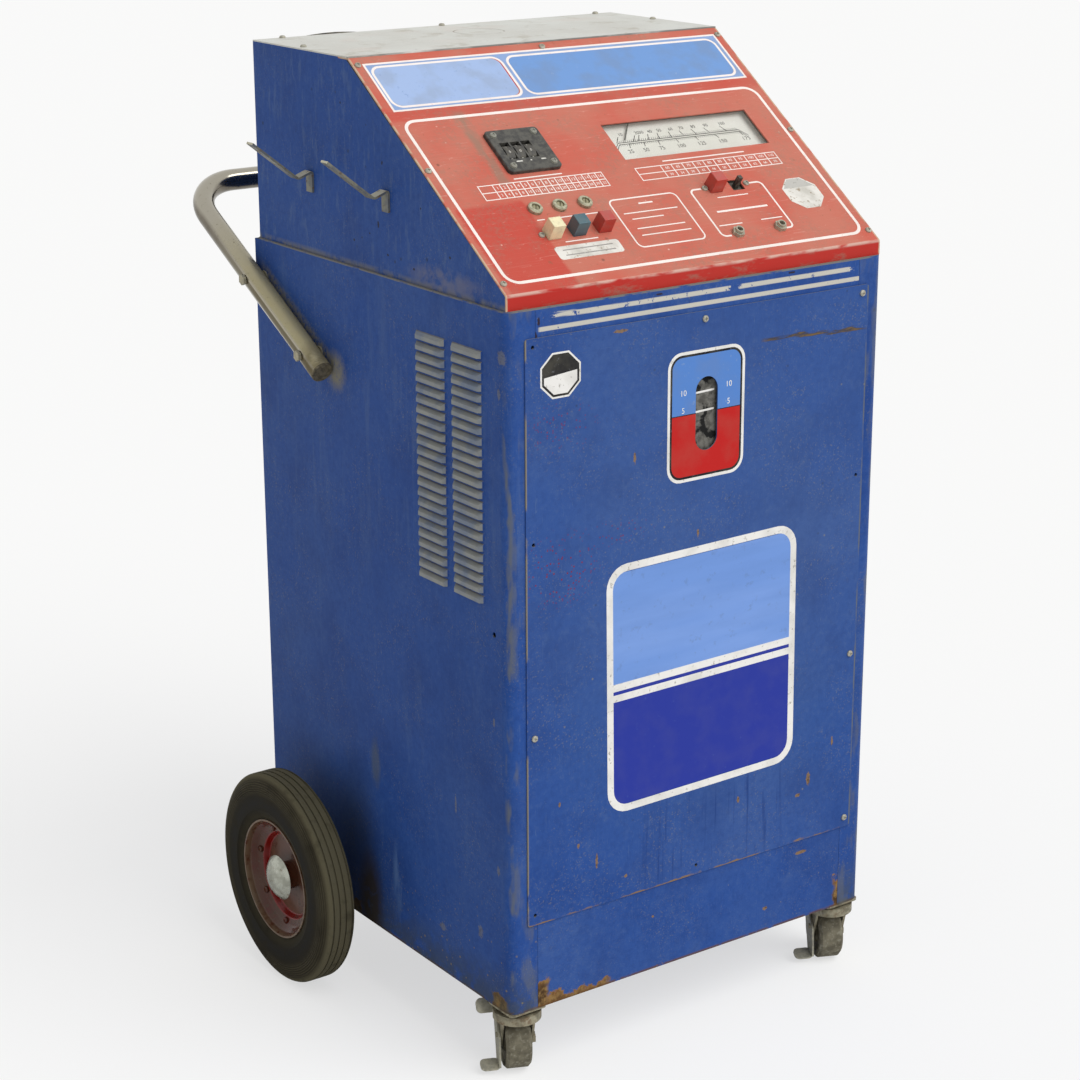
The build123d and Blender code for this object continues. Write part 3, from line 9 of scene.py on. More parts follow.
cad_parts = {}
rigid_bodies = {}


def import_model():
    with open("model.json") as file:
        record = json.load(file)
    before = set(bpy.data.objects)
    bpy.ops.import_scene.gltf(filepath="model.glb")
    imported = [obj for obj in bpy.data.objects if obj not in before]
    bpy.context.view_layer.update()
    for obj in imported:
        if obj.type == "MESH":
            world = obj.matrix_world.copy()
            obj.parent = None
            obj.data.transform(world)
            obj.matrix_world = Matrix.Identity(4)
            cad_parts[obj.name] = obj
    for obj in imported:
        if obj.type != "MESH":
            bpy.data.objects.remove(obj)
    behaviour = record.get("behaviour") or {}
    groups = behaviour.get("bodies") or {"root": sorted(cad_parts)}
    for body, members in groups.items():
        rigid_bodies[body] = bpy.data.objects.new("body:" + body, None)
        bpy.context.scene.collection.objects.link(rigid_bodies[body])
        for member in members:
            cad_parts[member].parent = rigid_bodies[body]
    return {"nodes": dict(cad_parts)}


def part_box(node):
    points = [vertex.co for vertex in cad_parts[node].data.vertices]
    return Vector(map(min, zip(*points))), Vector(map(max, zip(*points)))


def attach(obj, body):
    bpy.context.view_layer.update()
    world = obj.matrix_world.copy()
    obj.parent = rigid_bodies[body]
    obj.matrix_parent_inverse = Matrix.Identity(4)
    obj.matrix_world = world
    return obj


for leftover in list(bpy.data.objects):
    bpy.data.objects.remove(leftover)
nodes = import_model()["nodes"]
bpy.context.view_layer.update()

# Camera
# The photographer stood in front of the left corner, about three metres away and above the top.
# The lens is a moderate telephoto, and the view leans a fifth of a degree.

camera_place = Vector((-1.6346, -2.3310, 1.4020))
camera_azimuth = math.radians(-35.346)
camera_height = math.radians(17.611)
camera_lean = math.radians(-0.212)


def stand(name, data):
    """A new object in the scene."""
    thing = bpy.data.objects.new(name, data)
    bpy.context.scene.collection.objects.link(thing)
    return thing


lens = bpy.data.cameras.new("lens")
lens.lens = 83.263
lens.sensor_width = 36.0
lens.sensor_fit = "HORIZONTAL"
camera = stand("camera", lens)
camera.matrix_world = (
    Matrix.Translation(camera_place)
    @ Matrix.Rotation(camera_azimuth, 4, "Z")
    @ Matrix.Rotation(math.pi / 2 - camera_height, 4, "X")
    @ Matrix.Rotation(camera_lean, 4, "Z")
)
bpy.context.scene.camera = camera
bpy.context.scene.view_settings.view_transform = "Standard"

# Studio
# A white room without corners: even light from all round, and a broad soft lamp in front, to the
# right and above. The floor is pale and keeps the shadow.

room_light = 0.50
lamp_strength = 2.15
lamp_direction = Vector((0.25, -0.62, 0.75))
lamp_softness = math.radians(50)
floor_reach = 30.0
floor_paint = (0.86, 0.86, 0.85)
floor_lift = 0.62


def feed(tree, node, slots):
    """Gives each slot of a node its value, or a link where the value is a socket."""
    for slot, value in slots.items():
        value = getattr(value, "socket", value)
        if isinstance(value, bpy.types.NodeSocket):
            tree.links.new(value, node.inputs[slot])
        else:
            node.inputs[slot].default_value = value


def wired(tree, kind, slots, **settings):
    """A new node with its settings and its slots filled."""
    node = tree.nodes.new(kind)
    for setting, choice in settings.items():
        setattr(node, setting, choice)
    feed(tree, node, slots)
    return node


world = bpy.data.worlds.new("room")
bpy.context.scene.world = world
world.use_nodes = True
sky = world.node_tree
sky.nodes.clear()
ray = wired(sky, "ShaderNodeLightPath", {}).outputs
seen = ray["Is Camera Ray"]
for kind in ("Is Glossy Ray", "Is Transmission Ray"):
    seen = wired(sky, "ShaderNodeMath", {0: seen, 1: ray[kind]}, operation="ADD", use_clamp=True).outputs[0]
strength = wired(sky, "ShaderNodeMapRange", {"Value": seen, "To Min": room_light, "To Max": 1.0})
glow = wired(sky, "ShaderNodeBackground", {"Color": (1, 1, 1, 1), "Strength": strength.outputs[0]})
wired(sky, "ShaderNodeOutputWorld", {"Surface": glow.outputs[0]})

lamp = bpy.data.lights.new("soft_lamp", "SUN")
lamp.energy = lamp_strength
lamp.angle = lamp_softness
stand("soft_lamp", lamp).rotation_euler = lamp_direction.to_track_quat("Z", "Y").to_euler()

floor_mesh = bpy.data.meshes.new("floor")
floor_corners = [(x * floor_reach, y * floor_reach, 0) for x, y in ((-1, -1), (1, -1), (1, 1), (-1, 1))]
floor_mesh.from_pydata(floor_corners, [], [(0, 1, 2, 3)])
stand("floor", floor_mesh)
floor_material = bpy.data.materials.new("pale_floor")
floor_material.use_nodes = True
ground = floor_material.node_tree
ground.nodes.clear()
matt = wired(ground, "ShaderNodeBsdfDiffuse", {"Color": (*floor_paint, 1)})
lift = wired(ground, "ShaderNodeEmission", {})
direct = wired(ground, "ShaderNodeLightPath", {}).outputs["Is Camera Ray"]
share = wired(ground, "ShaderNodeMath", {0: direct, 1: floor_lift}, operation="MULTIPLY")
blend = wired(ground, "ShaderNodeMixShader", {0: share.outputs[0], 1: matt.outputs[0], 2: lift.outputs[0]})
wired(ground, "ShaderNodeOutputMaterial", {"Surface": blend.outputs[0]})
floor_mesh.materials.append(floor_material)

# Lower cabinet
# Two folded side sheets, a kick panel, a rail, a bottom pan and a deck of mild steel, sprayed with
# blue gloss enamel. Years of use left dust, scratches and chips, with rust at the foot.

deck_low, deck_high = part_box("deck")
cabinet_middle = Vector(((deck_low.x + deck_high.x) / 2, (deck_low.y + deck_high.y) / 2, 0))


def srgb(red, green, blue):
    """Shader colour of a paint chip given in 8-bit steps."""
    steps = [c / 255 for c in (red, green, blue)]
    return tuple(c / 12.92 if c <= 0.04045 else ((c + 0.055) / 1.055) ** 2.4 for c in steps)


class Field:
    """A value that varies over a surface, held as a socket of the finish's node tree."""

    def __init__(self, tree, socket):
        self.tree = tree
        self.socket = socket

    def math(self, operation, *others, clamp=False):
        slots = dict(enumerate((self, *others)))
        node = wired(self.tree, "ShaderNodeMath", slots, operation=operation, use_clamp=clamp)
        return Field(self.tree, node.outputs[0])

    def __add__(self, other):
        return self.math("ADD", other)

    def __sub__(self, other):
        return self.math("SUBTRACT", other)

    def __mul__(self, other):
        return self.math("MULTIPLY", other)

    def __truediv__(self, other):
        return self.math("DIVIDE", other)

    def __or__(self, other):
        return self.math("MAXIMUM", other)

    def size(self):
        return self.math("ABSOLUTE")

    def hypot(self, other):
        return (self * self + other * other).math("SQRT")

    def above(self, edge, soft):
        """1 where the value is over the edge, 0 under it, with a ramp as wide as soft."""
        return self.math("MULTIPLY_ADD", 1 / soft, 0.5 - edge / soft, clamp=True)

    def below(self, edge, soft):
        return self.math("MULTIPLY_ADD", -1 / soft, 0.5 + edge / soft, clamp=True)

    def between(self, low, high, soft):
        return (self - (low + high) / 2).size().below((high - low) / 2, soft)

    def rest(self):
        """What is left of 1."""
        return self.math("MULTIPLY_ADD", -1.0, 1.0, clamp=True)


def oval(across, along, centre, half):
    """Distance from an oval's centre, 1 at its edge."""
    return ((across - centre[0]) / half[0]).hypot((along - centre[1]) / half[1])


class Finish:
    """A finish in layers: colour, roughness and relief built up by masks on one shader."""

    def __init__(self, name, colour, rough, metal=0.0, specular=0.3):
        self.material = bpy.data.materials.new(name)
        self.material.use_nodes = True
        self.tree = self.material.node_tree
        self.shader = self.tree.nodes["Principled BSDF"]
        self.shader.inputs["Specular IOR Level"].default_value = specular
        self.colour = (*srgb(*colour), 1)
        self.rough = rough
        self.metal = metal
        self.bump = None
        self.where = wired(self.tree, "ShaderNodeTexCoord", {}).outputs

    def scaled(self, factors, shift):
        """The place on the object, scaled and shifted."""
        slots = {0: self.where["Object"], 1: factors, 2: shift}
        return wired(self.tree, "ShaderNodeVectorMath", slots, operation="MULTIPLY_ADD").outputs[0]

    def split(self, vector):
        parts = wired(self.tree, "ShaderNodeSeparateXYZ", {0: vector}).outputs
        return [Field(self.tree, part) for part in parts]

    @cached_property
    def place(self):
        """Place on the object in millimetres: x and y from the cabinet's middle, z from the floor."""
        return self.split(self.scaled((1000, 1000, 1000), tuple(-1000 * c for c in cabinet_middle)))

    @cached_property
    def normal(self):
        return self.split(self.where["Normal"])

    def stretched(self, grain, stretch, seed):
        return self.scaled(tuple(1000 / grain / s for s in stretch), (seed * 7.3, seed * 3.1, seed * 5.7))

    def noise(self, grain, seed=0, stretch=(1, 1, 1), detail=3.0, harsh=0.5):
        """Cloudy noise from 0 to 1; grain is the size of its patches in millimetres."""
        slots = {"Vector": self.stretched(grain, stretch, seed), "Scale": 1.0}
        slots |= {"Detail": detail, "Roughness": harsh}
        return Field(self.tree, wired(self.tree, "ShaderNodeTexNoise", slots).outputs[0])

    def dots(self, grain, radius, share, seed=0):
        """Scattered dots: a share of the cells of one grain size holds a dot of that radius."""
        slots = {"Vector": self.stretched(grain, (1, 1, 1), seed), "Scale": 1.0}
        cells = wired(self.tree, "ShaderNodeTexVoronoi", slots).outputs
        pick = wired(self.tree, "ShaderNodeSeparateColor", {0: cells["Color"]}).outputs
        chosen = Field(self.tree, pick[0]).below(share, 0.02)
        reach = Field(self.tree, pick[1]) * radius
        return (reach - Field(self.tree, cells["Distance"])).above(0, 0.08) * chosen

    def patch(self, across, along, centre, half, soft):
        """Oval patch on two axes: 1 in the middle, falling to 0 at its edge."""
        return oval(across, along, centre, half).below(1.0, soft)

    def cover(self, colour, mask, rough=None):
        """Another layer of colour, and of roughness, where the mask is 1."""
        slots = {0: mask, 6: self.colour, 7: (*srgb(*colour), 1)}
        self.colour = wired(self.tree, "ShaderNodeMix", slots, data_type="RGBA").outputs[2]
        if rough is not None:
            self.rough = self.blended(self.rough, rough, mask)

    def cloud(self, colour, grain, seed, edge, soft, strength, rough=None, within=None, **kind):
        """A layer where noise of that grain rises over the edge, inside another mask if there is one."""
        mask = self.noise(grain, seed, **kind).above(edge, soft)
        if within is not None:
            mask = within * mask
        self.cover(colour, mask * strength, rough)

    def blended(self, old, new, mask):
        return wired(self.tree, "ShaderNodeMix", {0: mask, 2: old, 3: new}).outputs[0]

    def bare(self, mask, metal):
        """Metal content where the mask is 1."""
        self.metal = self.blended(self.metal, metal, mask)

    def relief(self, field, depth):
        """Raised or sunken detail, its depth in millimetres."""
        slots = {"Distance": depth / 1000, "Height": field}
        if self.bump:
            slots["Normal"] = self.bump
        self.bump = wired(self.tree, "ShaderNodeBump", slots).outputs[0]

    def grained(self, grain, seed, depth, detail=3.0):
        self.relief(self.noise(grain, seed, detail=detail), depth)

    def done(self):
        """Connects the layers and gives the material."""
        layers = {"Base Color": self.colour, "Roughness": self.rough, "Metallic": self.metal}
        if self.bump:
            layers["Normal"] = self.bump
        feed(self.tree, self.shader, layers)
        return self.material

    def on(self, *pieces):
        """Dresses CAD pieces in the finish."""
        material = self.done()
        for piece in pieces:
            nodes[piece].data.materials.clear()
            nodes[piece].data.materials.append(material)


enamel_blue = (42, 76, 143)
haze = (92, 112, 146)
deep_blue = (30, 56, 116)
dust = (128, 124, 108)
primer_grey = (104, 106, 102)
rust_ochre = (136, 108, 68)
rust_brown = (98, 70, 44)
rust_orange = (146, 88, 42)
rust_dark = (52, 38, 28)
# Dark grey: grime in small dots, and painted shade under the louvre hoods.
grime_and_shade = (40, 42, 46)
sheet_foot = 85


def blue_enamel(name, seed, streak=(1, 1, 1)):
    """Blue enamel with its faded clouds, fine dust, scratches and small chips."""
    paint = Finish(name, enamel_blue, 0.42, specular=0.06)
    clouds = paint.noise(210, seed, detail=5, harsh=0.6)
    paint.cover(haze, clouds.above(0.56, 0.30) * 0.18, 0.5)
    paint.cloud(deep_blue, 120, seed + 1, 0.58, 0.22, 0.5, detail=5, harsh=0.6)
    paint.cloud(haze, 30, seed + 2, 0.62, 0.12, 0.16, 0.55, stretch=streak, detail=6, harsh=0.7)
    mottle = paint.noise(7, seed + 10, detail=5, harsh=0.7)
    paint.cover(deep_blue, mottle.below(0.44, 0.12) * 0.25)
    paint.cover(haze, mottle.above(0.60, 0.10) * 0.12)
    fine = paint.noise(2.2, seed + 3, detail=2).above(0.66, 0.16)
    paint.cloud(dust, 60, seed + 4, 0.5, 0.2, 0.4, 0.6, fine)
    paint.cover(grime_and_shade, paint.dots(26, 0.07, 0.35, seed + 5) * 0.6)
    paint.cover(dust, paint.dots(19, 0.055, 0.3, seed + 6) * 0.8)
    crossing = paint.noise(70, seed + 11, stretch=(0.05, 0.05, 1.0), detail=1)
    paint.cover(haze, crossing.between(0.498, 0.502, 0.003) * clouds.below(0.52, 0.06) * 0.4)
    scratch = paint.noise(30, seed + 7, stretch=(1.0, 1.0, 0.035), detail=1)
    paint.cover(haze, scratch.between(0.497, 0.503, 0.004) * clouds.above(0.5, 0.1) * 0.35)
    paint.cloud(dust, 8, seed + 8, 0.30, 0.3, 0.75, 0.8, paint.normal[2].above(0.35, 0.3))
    paint.grained(1.3, seed + 9, 0.035, 1)
    return paint


def foot_rust(paint, seed, along, spans):
    """Rust that creeps up from the bottom edge: each span is its low end, high end and height."""
    z = paint.place[2]
    ragged = paint.noise(30, seed, detail=7, harsh=0.68) * 64 - 32
    patches = paint.noise(13, seed + 1, detail=6, harsh=0.65)
    for low, high, height in spans:
        over = z - sheet_foot - ragged - height
        near = (along + ragged * 0.5).between(low, high, 5)
        paint.cover(rust_ochre, over.below(0, 2.5) * near, 0.9)
        paint.cover(rust_brown, over.below(-1, 4) * near * patches.above(0.50, 0.12) * 0.85, 0.9)
        paint.cover(rust_orange, over.between(-3, 0, 2) * near * 0.2, 0.85)
        paint.cover(rust_dark, over.below(-12, 14) * near * patches.above(0.46, 0.12) * 0.7, 0.9)
    paint.cloud(rust_brown, 14, seed + 2, 0.42, 0.14, 0.8, 0.9, z.below(sheet_foot + 2.5, 2), detail=5)


def blotches(paint, seed, across, along, spots, colour, strength=0.85):
    """Small ragged marks, each given by its centre and half sizes."""
    ragged = paint.noise(4, seed, detail=6, harsh=0.8) * 1.5 - 0.75
    grainy = paint.noise(3, seed + 1, detail=4)
    for centre, half in spots:
        mark = (oval(across, along, centre, half) + ragged).below(0.55, 0.12)
        paint.cover(colour, mark * strength, 0.85)
        paint.cover(rust_dark, mark * grainy.above(0.56, 0.1) * strength * 0.6, 0.9)


louvre_hoods = 255.1
arm_slope = 0.552
arm_stop = (88, 741)
for side, seed in (("left", 3), ("right", 41)):
    sheet = blue_enamel(side + "_side_enamel", seed, (1.0, 1.0, 6.0))
    x, y, z = sheet.place
    foot_rust(sheet, seed + 20, y, [(-246, -218, 16), (-200, -150, -6), (60, 262, 14)])
    sheet.cloud((70, 74, 66), 22, seed + 21, 0.44, 0.16, 0.7, 0.8, z.below(112, 60), detail=6, harsh=0.7)
    low_specks = z.below(170, 130) * sheet.dots(9, 0.16, 0.5, seed + 29)
    sheet.cover((132, 118, 78), low_specks * 0.7, 0.8)
    # darker in a broad oval low on the side
    sheet.cover(grime_and_shade, sheet.patch(y, z, (60, 150), (40, 110), 0.9) * 0.45, 0.7)
    mud = sheet.patch(y, z, (34, 112), (22, 52), 0.8)
    sheet.cloud((66, 56, 38), 20, seed + 30, 0.36, 0.16, 0.8, 0.85, mud, detail=6, harsh=0.7)
    wiped = sheet.noise(20, seed + 31, stretch=(1, 1, 4), detail=5, harsh=0.6).above(0.47, 0.14)
    sheet.cover((84, 112, 158), wiped * sheet.patch(y, z, (-27, 164), (9, 36), 0.8) * 0.7, 0.6)
    sheet.cover((96, 98, 70), wiped * sheet.patch(y, z, (16, 292), (9, 26), 0.8) * 0.4, 0.7)
    runs = sheet.noise(16, seed + 22, stretch=(1, 1, 9), detail=4, harsh=0.6).above(0.60, 0.14)
    sheet.cover(haze, runs * z.between(560, 850, 120) * 0.22)
    hood = x.size().above(louvre_hoods, 0.5)
    hood_dust = sheet.noise(16, seed + 25, detail=4).math("MULTIPLY_ADD", 0.5, 0.66)
    sheet.cover((148, 150, 146), hood * hood_dust, 0.75)
    sheet.cloud(haze, 26, seed + 26, 0.55, 0.2, 0.5, 0.6, hood)
    # painted shade on the downward faces of the louvre hoods
    sheet.cover(grime_and_shade, hood * sheet.normal[2].below(-0.5, 0.4) * 0.8)
    arm_line = z - arm_stop[1] - (y - arm_stop[0]) * arm_slope
    by_arm = arm_line.between(-8, 16, 9) * y.between(76, 236, 20)
    sheet.cloud(dust, 5, seed + 27, 0.47, 0.12, 0.7, 0.7, by_arm, detail=6, harsh=0.75)
    arm_end = sheet.patch(y, z, (80, 741), (17, 19), 0.9)
    sheet.cloud(dust, 5, seed + 28, 0.42, 0.16, 0.85, 0.8, arm_end, detail=6, harsh=0.75)
    corner = y.between(-254, -246, 5)
    sheet.cloud(primer_grey, 16, seed + 23, 0.58, 0.1, 0.7, 0.7, corner, stretch=(1, 1, 4))
    blotches(
        sheet, seed + 24, y, z,
        [((-244, 818), (9, 14)), ((-240, 780), (5, 10)), ((-150, 300), (3, 20)), ((-226, 420), (4, 8)),
         ((-232, 250), (5, 10)), ((-120, 140), (10, 8)), ((-196, 165), (8, 14))],
        dust, 0.45,
    )
    sheet.on(side + "_side_panel")

kick = blue_enamel("kick_enamel", 12)
x, y, z = kick.place
foot_rust(kick, 60, x, [(-245, -204, 34), (-206, -120, 8), (-120, -40, -3), (212, 245, 34)])
kick_spots = [((158, 170), (14, 4)), ((105, 113), (6, 4)), ((-60, 150), (3, 3)), ((20, 190), (26, 2.2))]
blotches(kick, 63, x, z, kick_spots, rust_ochre, 0.85)
kick.on("kick_panel")

stripe_white = (196, 192, 180)
rail = blue_enamel("rail_enamel", 15)
x, y, z = rail.place
worn = rail.noise(9, 70, detail=6, harsh=0.72)
brushed = rail.noise(4, 71, stretch=(18, 1, 1), detail=4) * 9 - 4.5
upper_stripe = (z + brushed * x.below(-130, 110)).between(853.2, 858.2, 1.0)
ends = (x + rail.noise(3, 73, stretch=(1, 1, 0.4), detail=3) * 26).between(-182, 218, 3)
upper_stripe = upper_stripe * ends * worn.below(0.62, 0.03)
torn_gap = (x + worn * 24).between(46, 60, 2)
lower_stripe = z.between(841.5, 846.2, 0.8) * x.between(-214, 243, 3) * worn.below(0.66, 0.03)
rail.cover(stripe_white, upper_stripe * torn_gap.rest() * 0.94, 0.6)
rail.cover(stripe_white, lower_stripe * 0.94, 0.6)
rail_spots = [
    ((-214, 852), (3, 9)), ((-218, 838), (3, 7)), ((222, 856), (3, 8)), ((226, 846), (4, 3)),
    ((-60, 861), (9, 2)), ((120, 862), (8, 2)),
]
blotches(rail, 72, x, z, rail_spots, rust_dark, 0.8)
rail.on("top_rail")

deck_paint = blue_enamel("deck_enamel", 18)
deck_paint.cloud(dust, 18, 75, 0.40, 0.15, 0.75, 0.8, deck_paint.place[2].above(863.8, 0.6), detail=4)
deck_paint.on("deck")
blue_enamel("pan_enamel", 21).on("base_pan")

# Service panel
# The sheet over the cabinet's front, held by pan-head screws of which five are lost. Its left edge
# is worn to dusty metal, its lower edge rusts, and red overspray freckles its left side.

panel = blue_enamel("service_panel_enamel", 27)
x, y, z = panel.place
panel.cover(haze, panel.patch(x, z, (30, 600), (260, 300), 1.1) * 0.20)
drips = panel.noise(7, 80, stretch=(1, 1, 22), detail=2).above(0.62, 0.10)
drip_zone = z.between(190, 292, 40) * x.between(-80, 120, 60)
panel.cover(deep_blue, drips * drip_zone * 0.8)
freckle_zone = panel.patch(x, z, (-188, 585), (44, 34), 0.8)
freckle_zone = freckle_zone | (panel.patch(x, z, (-120, 612), (42, 12), 0.9) * 0.7)
freckle_zone = freckle_zone | (panel.patch(x, z, (-188, 738), (38, 24), 0.9) * 0.6)
panel.cover((122, 36, 52), panel.dots(3.8, 0.42, 0.5, 81) * freckle_zone * 0.85)
panel_spots = [
    ((-92, 690), (3, 11)), ((-5, 592), (2.6, 8)), ((60, 262), (3, 7)), ((-140, 240), (3, 15)),
    ((-165, 265), (3, 6)), ((-100, 212), (4, 4)), ((165, 262), (5, 14)), ((-190, 320), (2.5, 6)),
    ((200, 300), (3, 10)), ((150, 245), (7, 4)), ((-112, 829), (15, 3.4)),
]
blotches(panel, 83, x, z, panel_spots, rust_ochre, 0.85)
wander = panel.noise(40, 84, stretch=(1, 1, 0.2), detail=3) * 16 - 8
scuff_level = 795.5
scuff_slope = 0.035
rubbed = (z + x * scuff_slope + wander - scuff_level).size()
broken = panel.noise(12, 85, stretch=(4, 1, 0.4), detail=6, harsh=0.7)
scuff_ends = x.between(84, 226, 14)
panel.cover((70, 62, 48), rubbed.below(2.0, 1.6) * scuff_ends * broken.above(0.40, 0.1) * 0.85, 0.8)
panel.cover((122, 98, 60), rubbed.below(1.4, 1.2) * scuff_ends * broken.above(0.50, 0.08) * 0.8, 0.8)
left_edge = x.below(-230.6, 0.9)
panel.cloud((140, 130, 106), 30, 86, 0.45, 0.06, 0.85, 0.7, left_edge, stretch=(1, 1, 2), detail=6)
lower_edge = (z - panel.noise(16, 89, detail=5) * 7).below(184.6, 1.2)
panel.cloud(rust_ochre, 24, 87, 0.48, 0.06, 0.9, 0.85, lower_edge, stretch=(2, 1, 1), detail=5)
right_edge = x.above(230.2, 1.4)
panel.cloud(primer_grey, 18, 88, 0.45, 0.15, 0.8, 0.7, right_edge, stretch=(1, 1, 3))
panel.on("front_panel")

# Rear frame, door and hinge
# The back sheet and its pan-shaped door, in the same enamel, on a long zinc-plated hinge.

blue_enamel("rear_frame_enamel", 31, (1, 1, 5)).on("back_frame")
door = blue_enamel("rear_door_enamel", 33, (1, 1, 5))
foot_rust(door, 90, door.place[0], [(-215, 215, 34)])
door.on("rear_door")


def zinc_plate(name, seed, tint=(150, 148, 138), rusty=0.35):
    """Dull zinc plate with dust and a little rust."""
    plate = Finish(name, tint, 0.42, metal=0.35, specular=0.5)
    plate.cloud(primer_grey, 4, seed, 0.5, 0.3, 0.5, 0.6, detail=4)
    plate.cloud(rust_brown, 3, seed + 1, 0.60, 0.15, rusty, 0.85, detail=5, harsh=0.7)
    plate.cover(dust, plate.normal[2].above(0.2, 0.5) * 0.35, 0.7)
    plate.grained(0.8, seed + 2, 0.03, 2)
    return plate


zinc_plate("hinge_zinc", 35).on("hinge_frame_leaf")
zinc_plate("latch_chrome", 36, (176, 176, 172), 0.1).on("door_latch")

# Console shell
# Two side sheets, a back and a plain top. The sides wear the cabinet's enamel, and the top is
# pale grey, stained by cans and dried spills.

shell_spots = [
    ((-12, 919), (3.4, 6)), ((38, 895), (2.6, 2.6)), ((22, 900), (2, 2)), ((-30, 889), (3, 2.4)),
    ((-44, 884), (2, 3)), ((-81, 882), (3, 2.2)), ((6, 907), (2, 1.6)), ((-96, 948), (2.4, 2)),
    ((-150, 905), (3, 3)), ((60, 1040), (2.4, 2.4)), ((-22, 986), (2.6, 4)),
]
for name, seed in (("console_left_side", 44), ("console_right_side", 47), ("console_back", 50)):
    shell = blue_enamel(name + "_enamel", seed, (1, 1, 4))
    x, y, z = shell.place
    shell.cloud(haze, 40, seed + 3, 0.58, 0.1, 0.3, stretch=(0.25, 0.25, 1), detail=6, harsh=0.7)
    shell.cloud(dust, 14, seed + 4, 0.45, 0.2, 0.55, within=z.below(871, 5))
    ledge_smear = shell.patch(y, z, (-140, 878), (60, 12), 0.8)
    shell.cloud((112, 112, 130), 14, seed + 5, 0.44, 0.16, 0.6, within=ledge_smear, detail=5)
    if name != "console_back":
        blotches(shell, seed + 6, y, z, shell_spots, (58, 56, 50), 0.8)
    shell.on(name)

top = Finish("stained_top", (206, 207, 201), 0.55, specular=0.15)
x, y, z = top.place
top.cloud((192, 190, 182), 90, 100, 0.5, 0.25, 0.6, detail=5, harsh=0.6)
top.cloud((158, 148, 128), 34, 101, 0.61, 0.12, 0.45, 0.7, detail=6, harsh=0.65)
top.cloud((204, 190, 180), 55, 102, 0.63, 0.12, 0.25, detail=4)
can_mark = x.hypot(y - 165).between(28.4, 30.2, 1.0)
top.cloud((120, 108, 90), 20, 103, 0.44, 0.15, 0.8, within=can_mark)
top.cover((96, 88, 76), top.dots(12, 0.10, 0.35, 104) * 0.7)
scratches = top.noise(60, 105, stretch=(1, 0.05, 1), detail=1).between(0.495, 0.505, 0.005)
top.cover((235, 233, 228), scratches * 0.5)
top.cloud(primer_grey, 18, 106, 0.42, 0.2, 0.8, within=y.below(44.5, 2), stretch=(3, 1, 1))
top.grained(260, 107, 1.2, 1)
top.on("console_top")

# Control panel
# The sloping front of the console with its folded lip, in red enamel that sun and dust have turned
# pink. White and blue print marks off its fields.

slope_low, slope_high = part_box("control_panel")
slope_flange = 0.020
slope_lip = 0.016
slope_foot = Vector((0, slope_low.y, deck_high.z + slope_lip))
slope_head = Vector((0, slope_high.y - slope_flange, slope_high.z))
slope_up = (slope_head - slope_foot).normalized()
slope_out = Vector((1, 0, 0)).cross(slope_up)


def upright(up, out, origin):
    """Frame whose x runs across the object, with its y along up and its z along out."""
    rows = [(0, up[i], out[i], origin[i]) for i in (1, 2)]
    return Matrix(((1, up.x, out.x, origin.x), *rows, (0, 0, 0, 1)))


def on_slope(n):
    """Frame on the panel, u across and w up the slope, raised by n millimetres."""
    return upright(slope_up, slope_out, slope_foot + slope_out * n / 1000)


def up_the_slope(paint):
    """Field of the distance up the slope, in millimetres."""
    x, y, z = paint.place
    foot_y = (slope_foot.y - cabinet_middle.y) * 1000
    return (y - foot_y) * slope_up.y + (z - slope_foot.z * 1000) * slope_up.z


red_faded = (194, 98, 82)
red_fresh = (188, 62, 52)
red = Finish("red_enamel", red_faded, 0.45, specular=0.10)
u = red.place[0]
w = up_the_slope(red)
ragged = red.noise(22, 120, detail=5, harsh=0.6) * 20 - 10
red.cloud((190, 124, 106), 70, 121, 0.48, 0.25, 0.6, 0.6, detail=5)
label_place = (u + ragged * 0.25).between(-244, -160, 4) * (w + ragged * 0.4).between(-4, 124, 6)
red.cover(red_fresh, label_place * 0.7, 0.4)
red.cover(red_fresh, (w + ragged).between(256, 274, 8) * 0.45)
red.cover((182, 84, 72), (u + ragged).between(-150, 40, 20) * (w + ragged).between(255, 272, 8) * 0.5)
patchiness = red.noise(5, 122, detail=6, harsh=0.75).above(0.52, 0.14)
red.cloud(dust, 46, 123, 0.52, 0.2, 0.3, 0.8, patchiness)
run = (u + ragged * 0.2).between(-172, -158, 5) * w.between(150, 262, 10)
red.cloud(dust, 10, 124, 0.42, 0.2, 0.55, 0.8, run, stretch=(1, 4, 4))
red.cover((96, 74, 64), red.dots(22, 0.09, 0.4, 125) * 0.7)
red.cover((226, 196, 182), red.dots(16, 0.06, 0.3, 126) * 0.8)
scratches = red.noise(80, 127, stretch=(1, 0.06, 0.06), detail=1).between(0.497, 0.503, 0.004)
red.cover((222, 178, 164), scratches * 0.3)
red.cloud((128, 96, 74), 9, 133, 0.66, 0.05, 0.55, 0.8, detail=6, harsh=0.75)
lip = w.below(0.6, 1.0)
red.cover((178, 44, 38), lip * 0.95, 0.4)
red.cloud(dust, 14, 128, 0.60, 0.1, 0.4, 0.8, lip, stretch=(3, 1, 1), detail=6, harsh=0.7)
fold = w.between(-1.2, 1.4, 1.2)
red.cloud((210, 186, 172), 12, 129, 0.48, 0.15, 0.7, within=fold, stretch=(3, 1, 1))
red.cloud((196, 178, 150), 14, 130, 0.44, 0.15, 0.8, within=u.size().above(249.2, 1.2))
red.grained(1.3, 131, 0.03, 1)
red.on("control_panel")


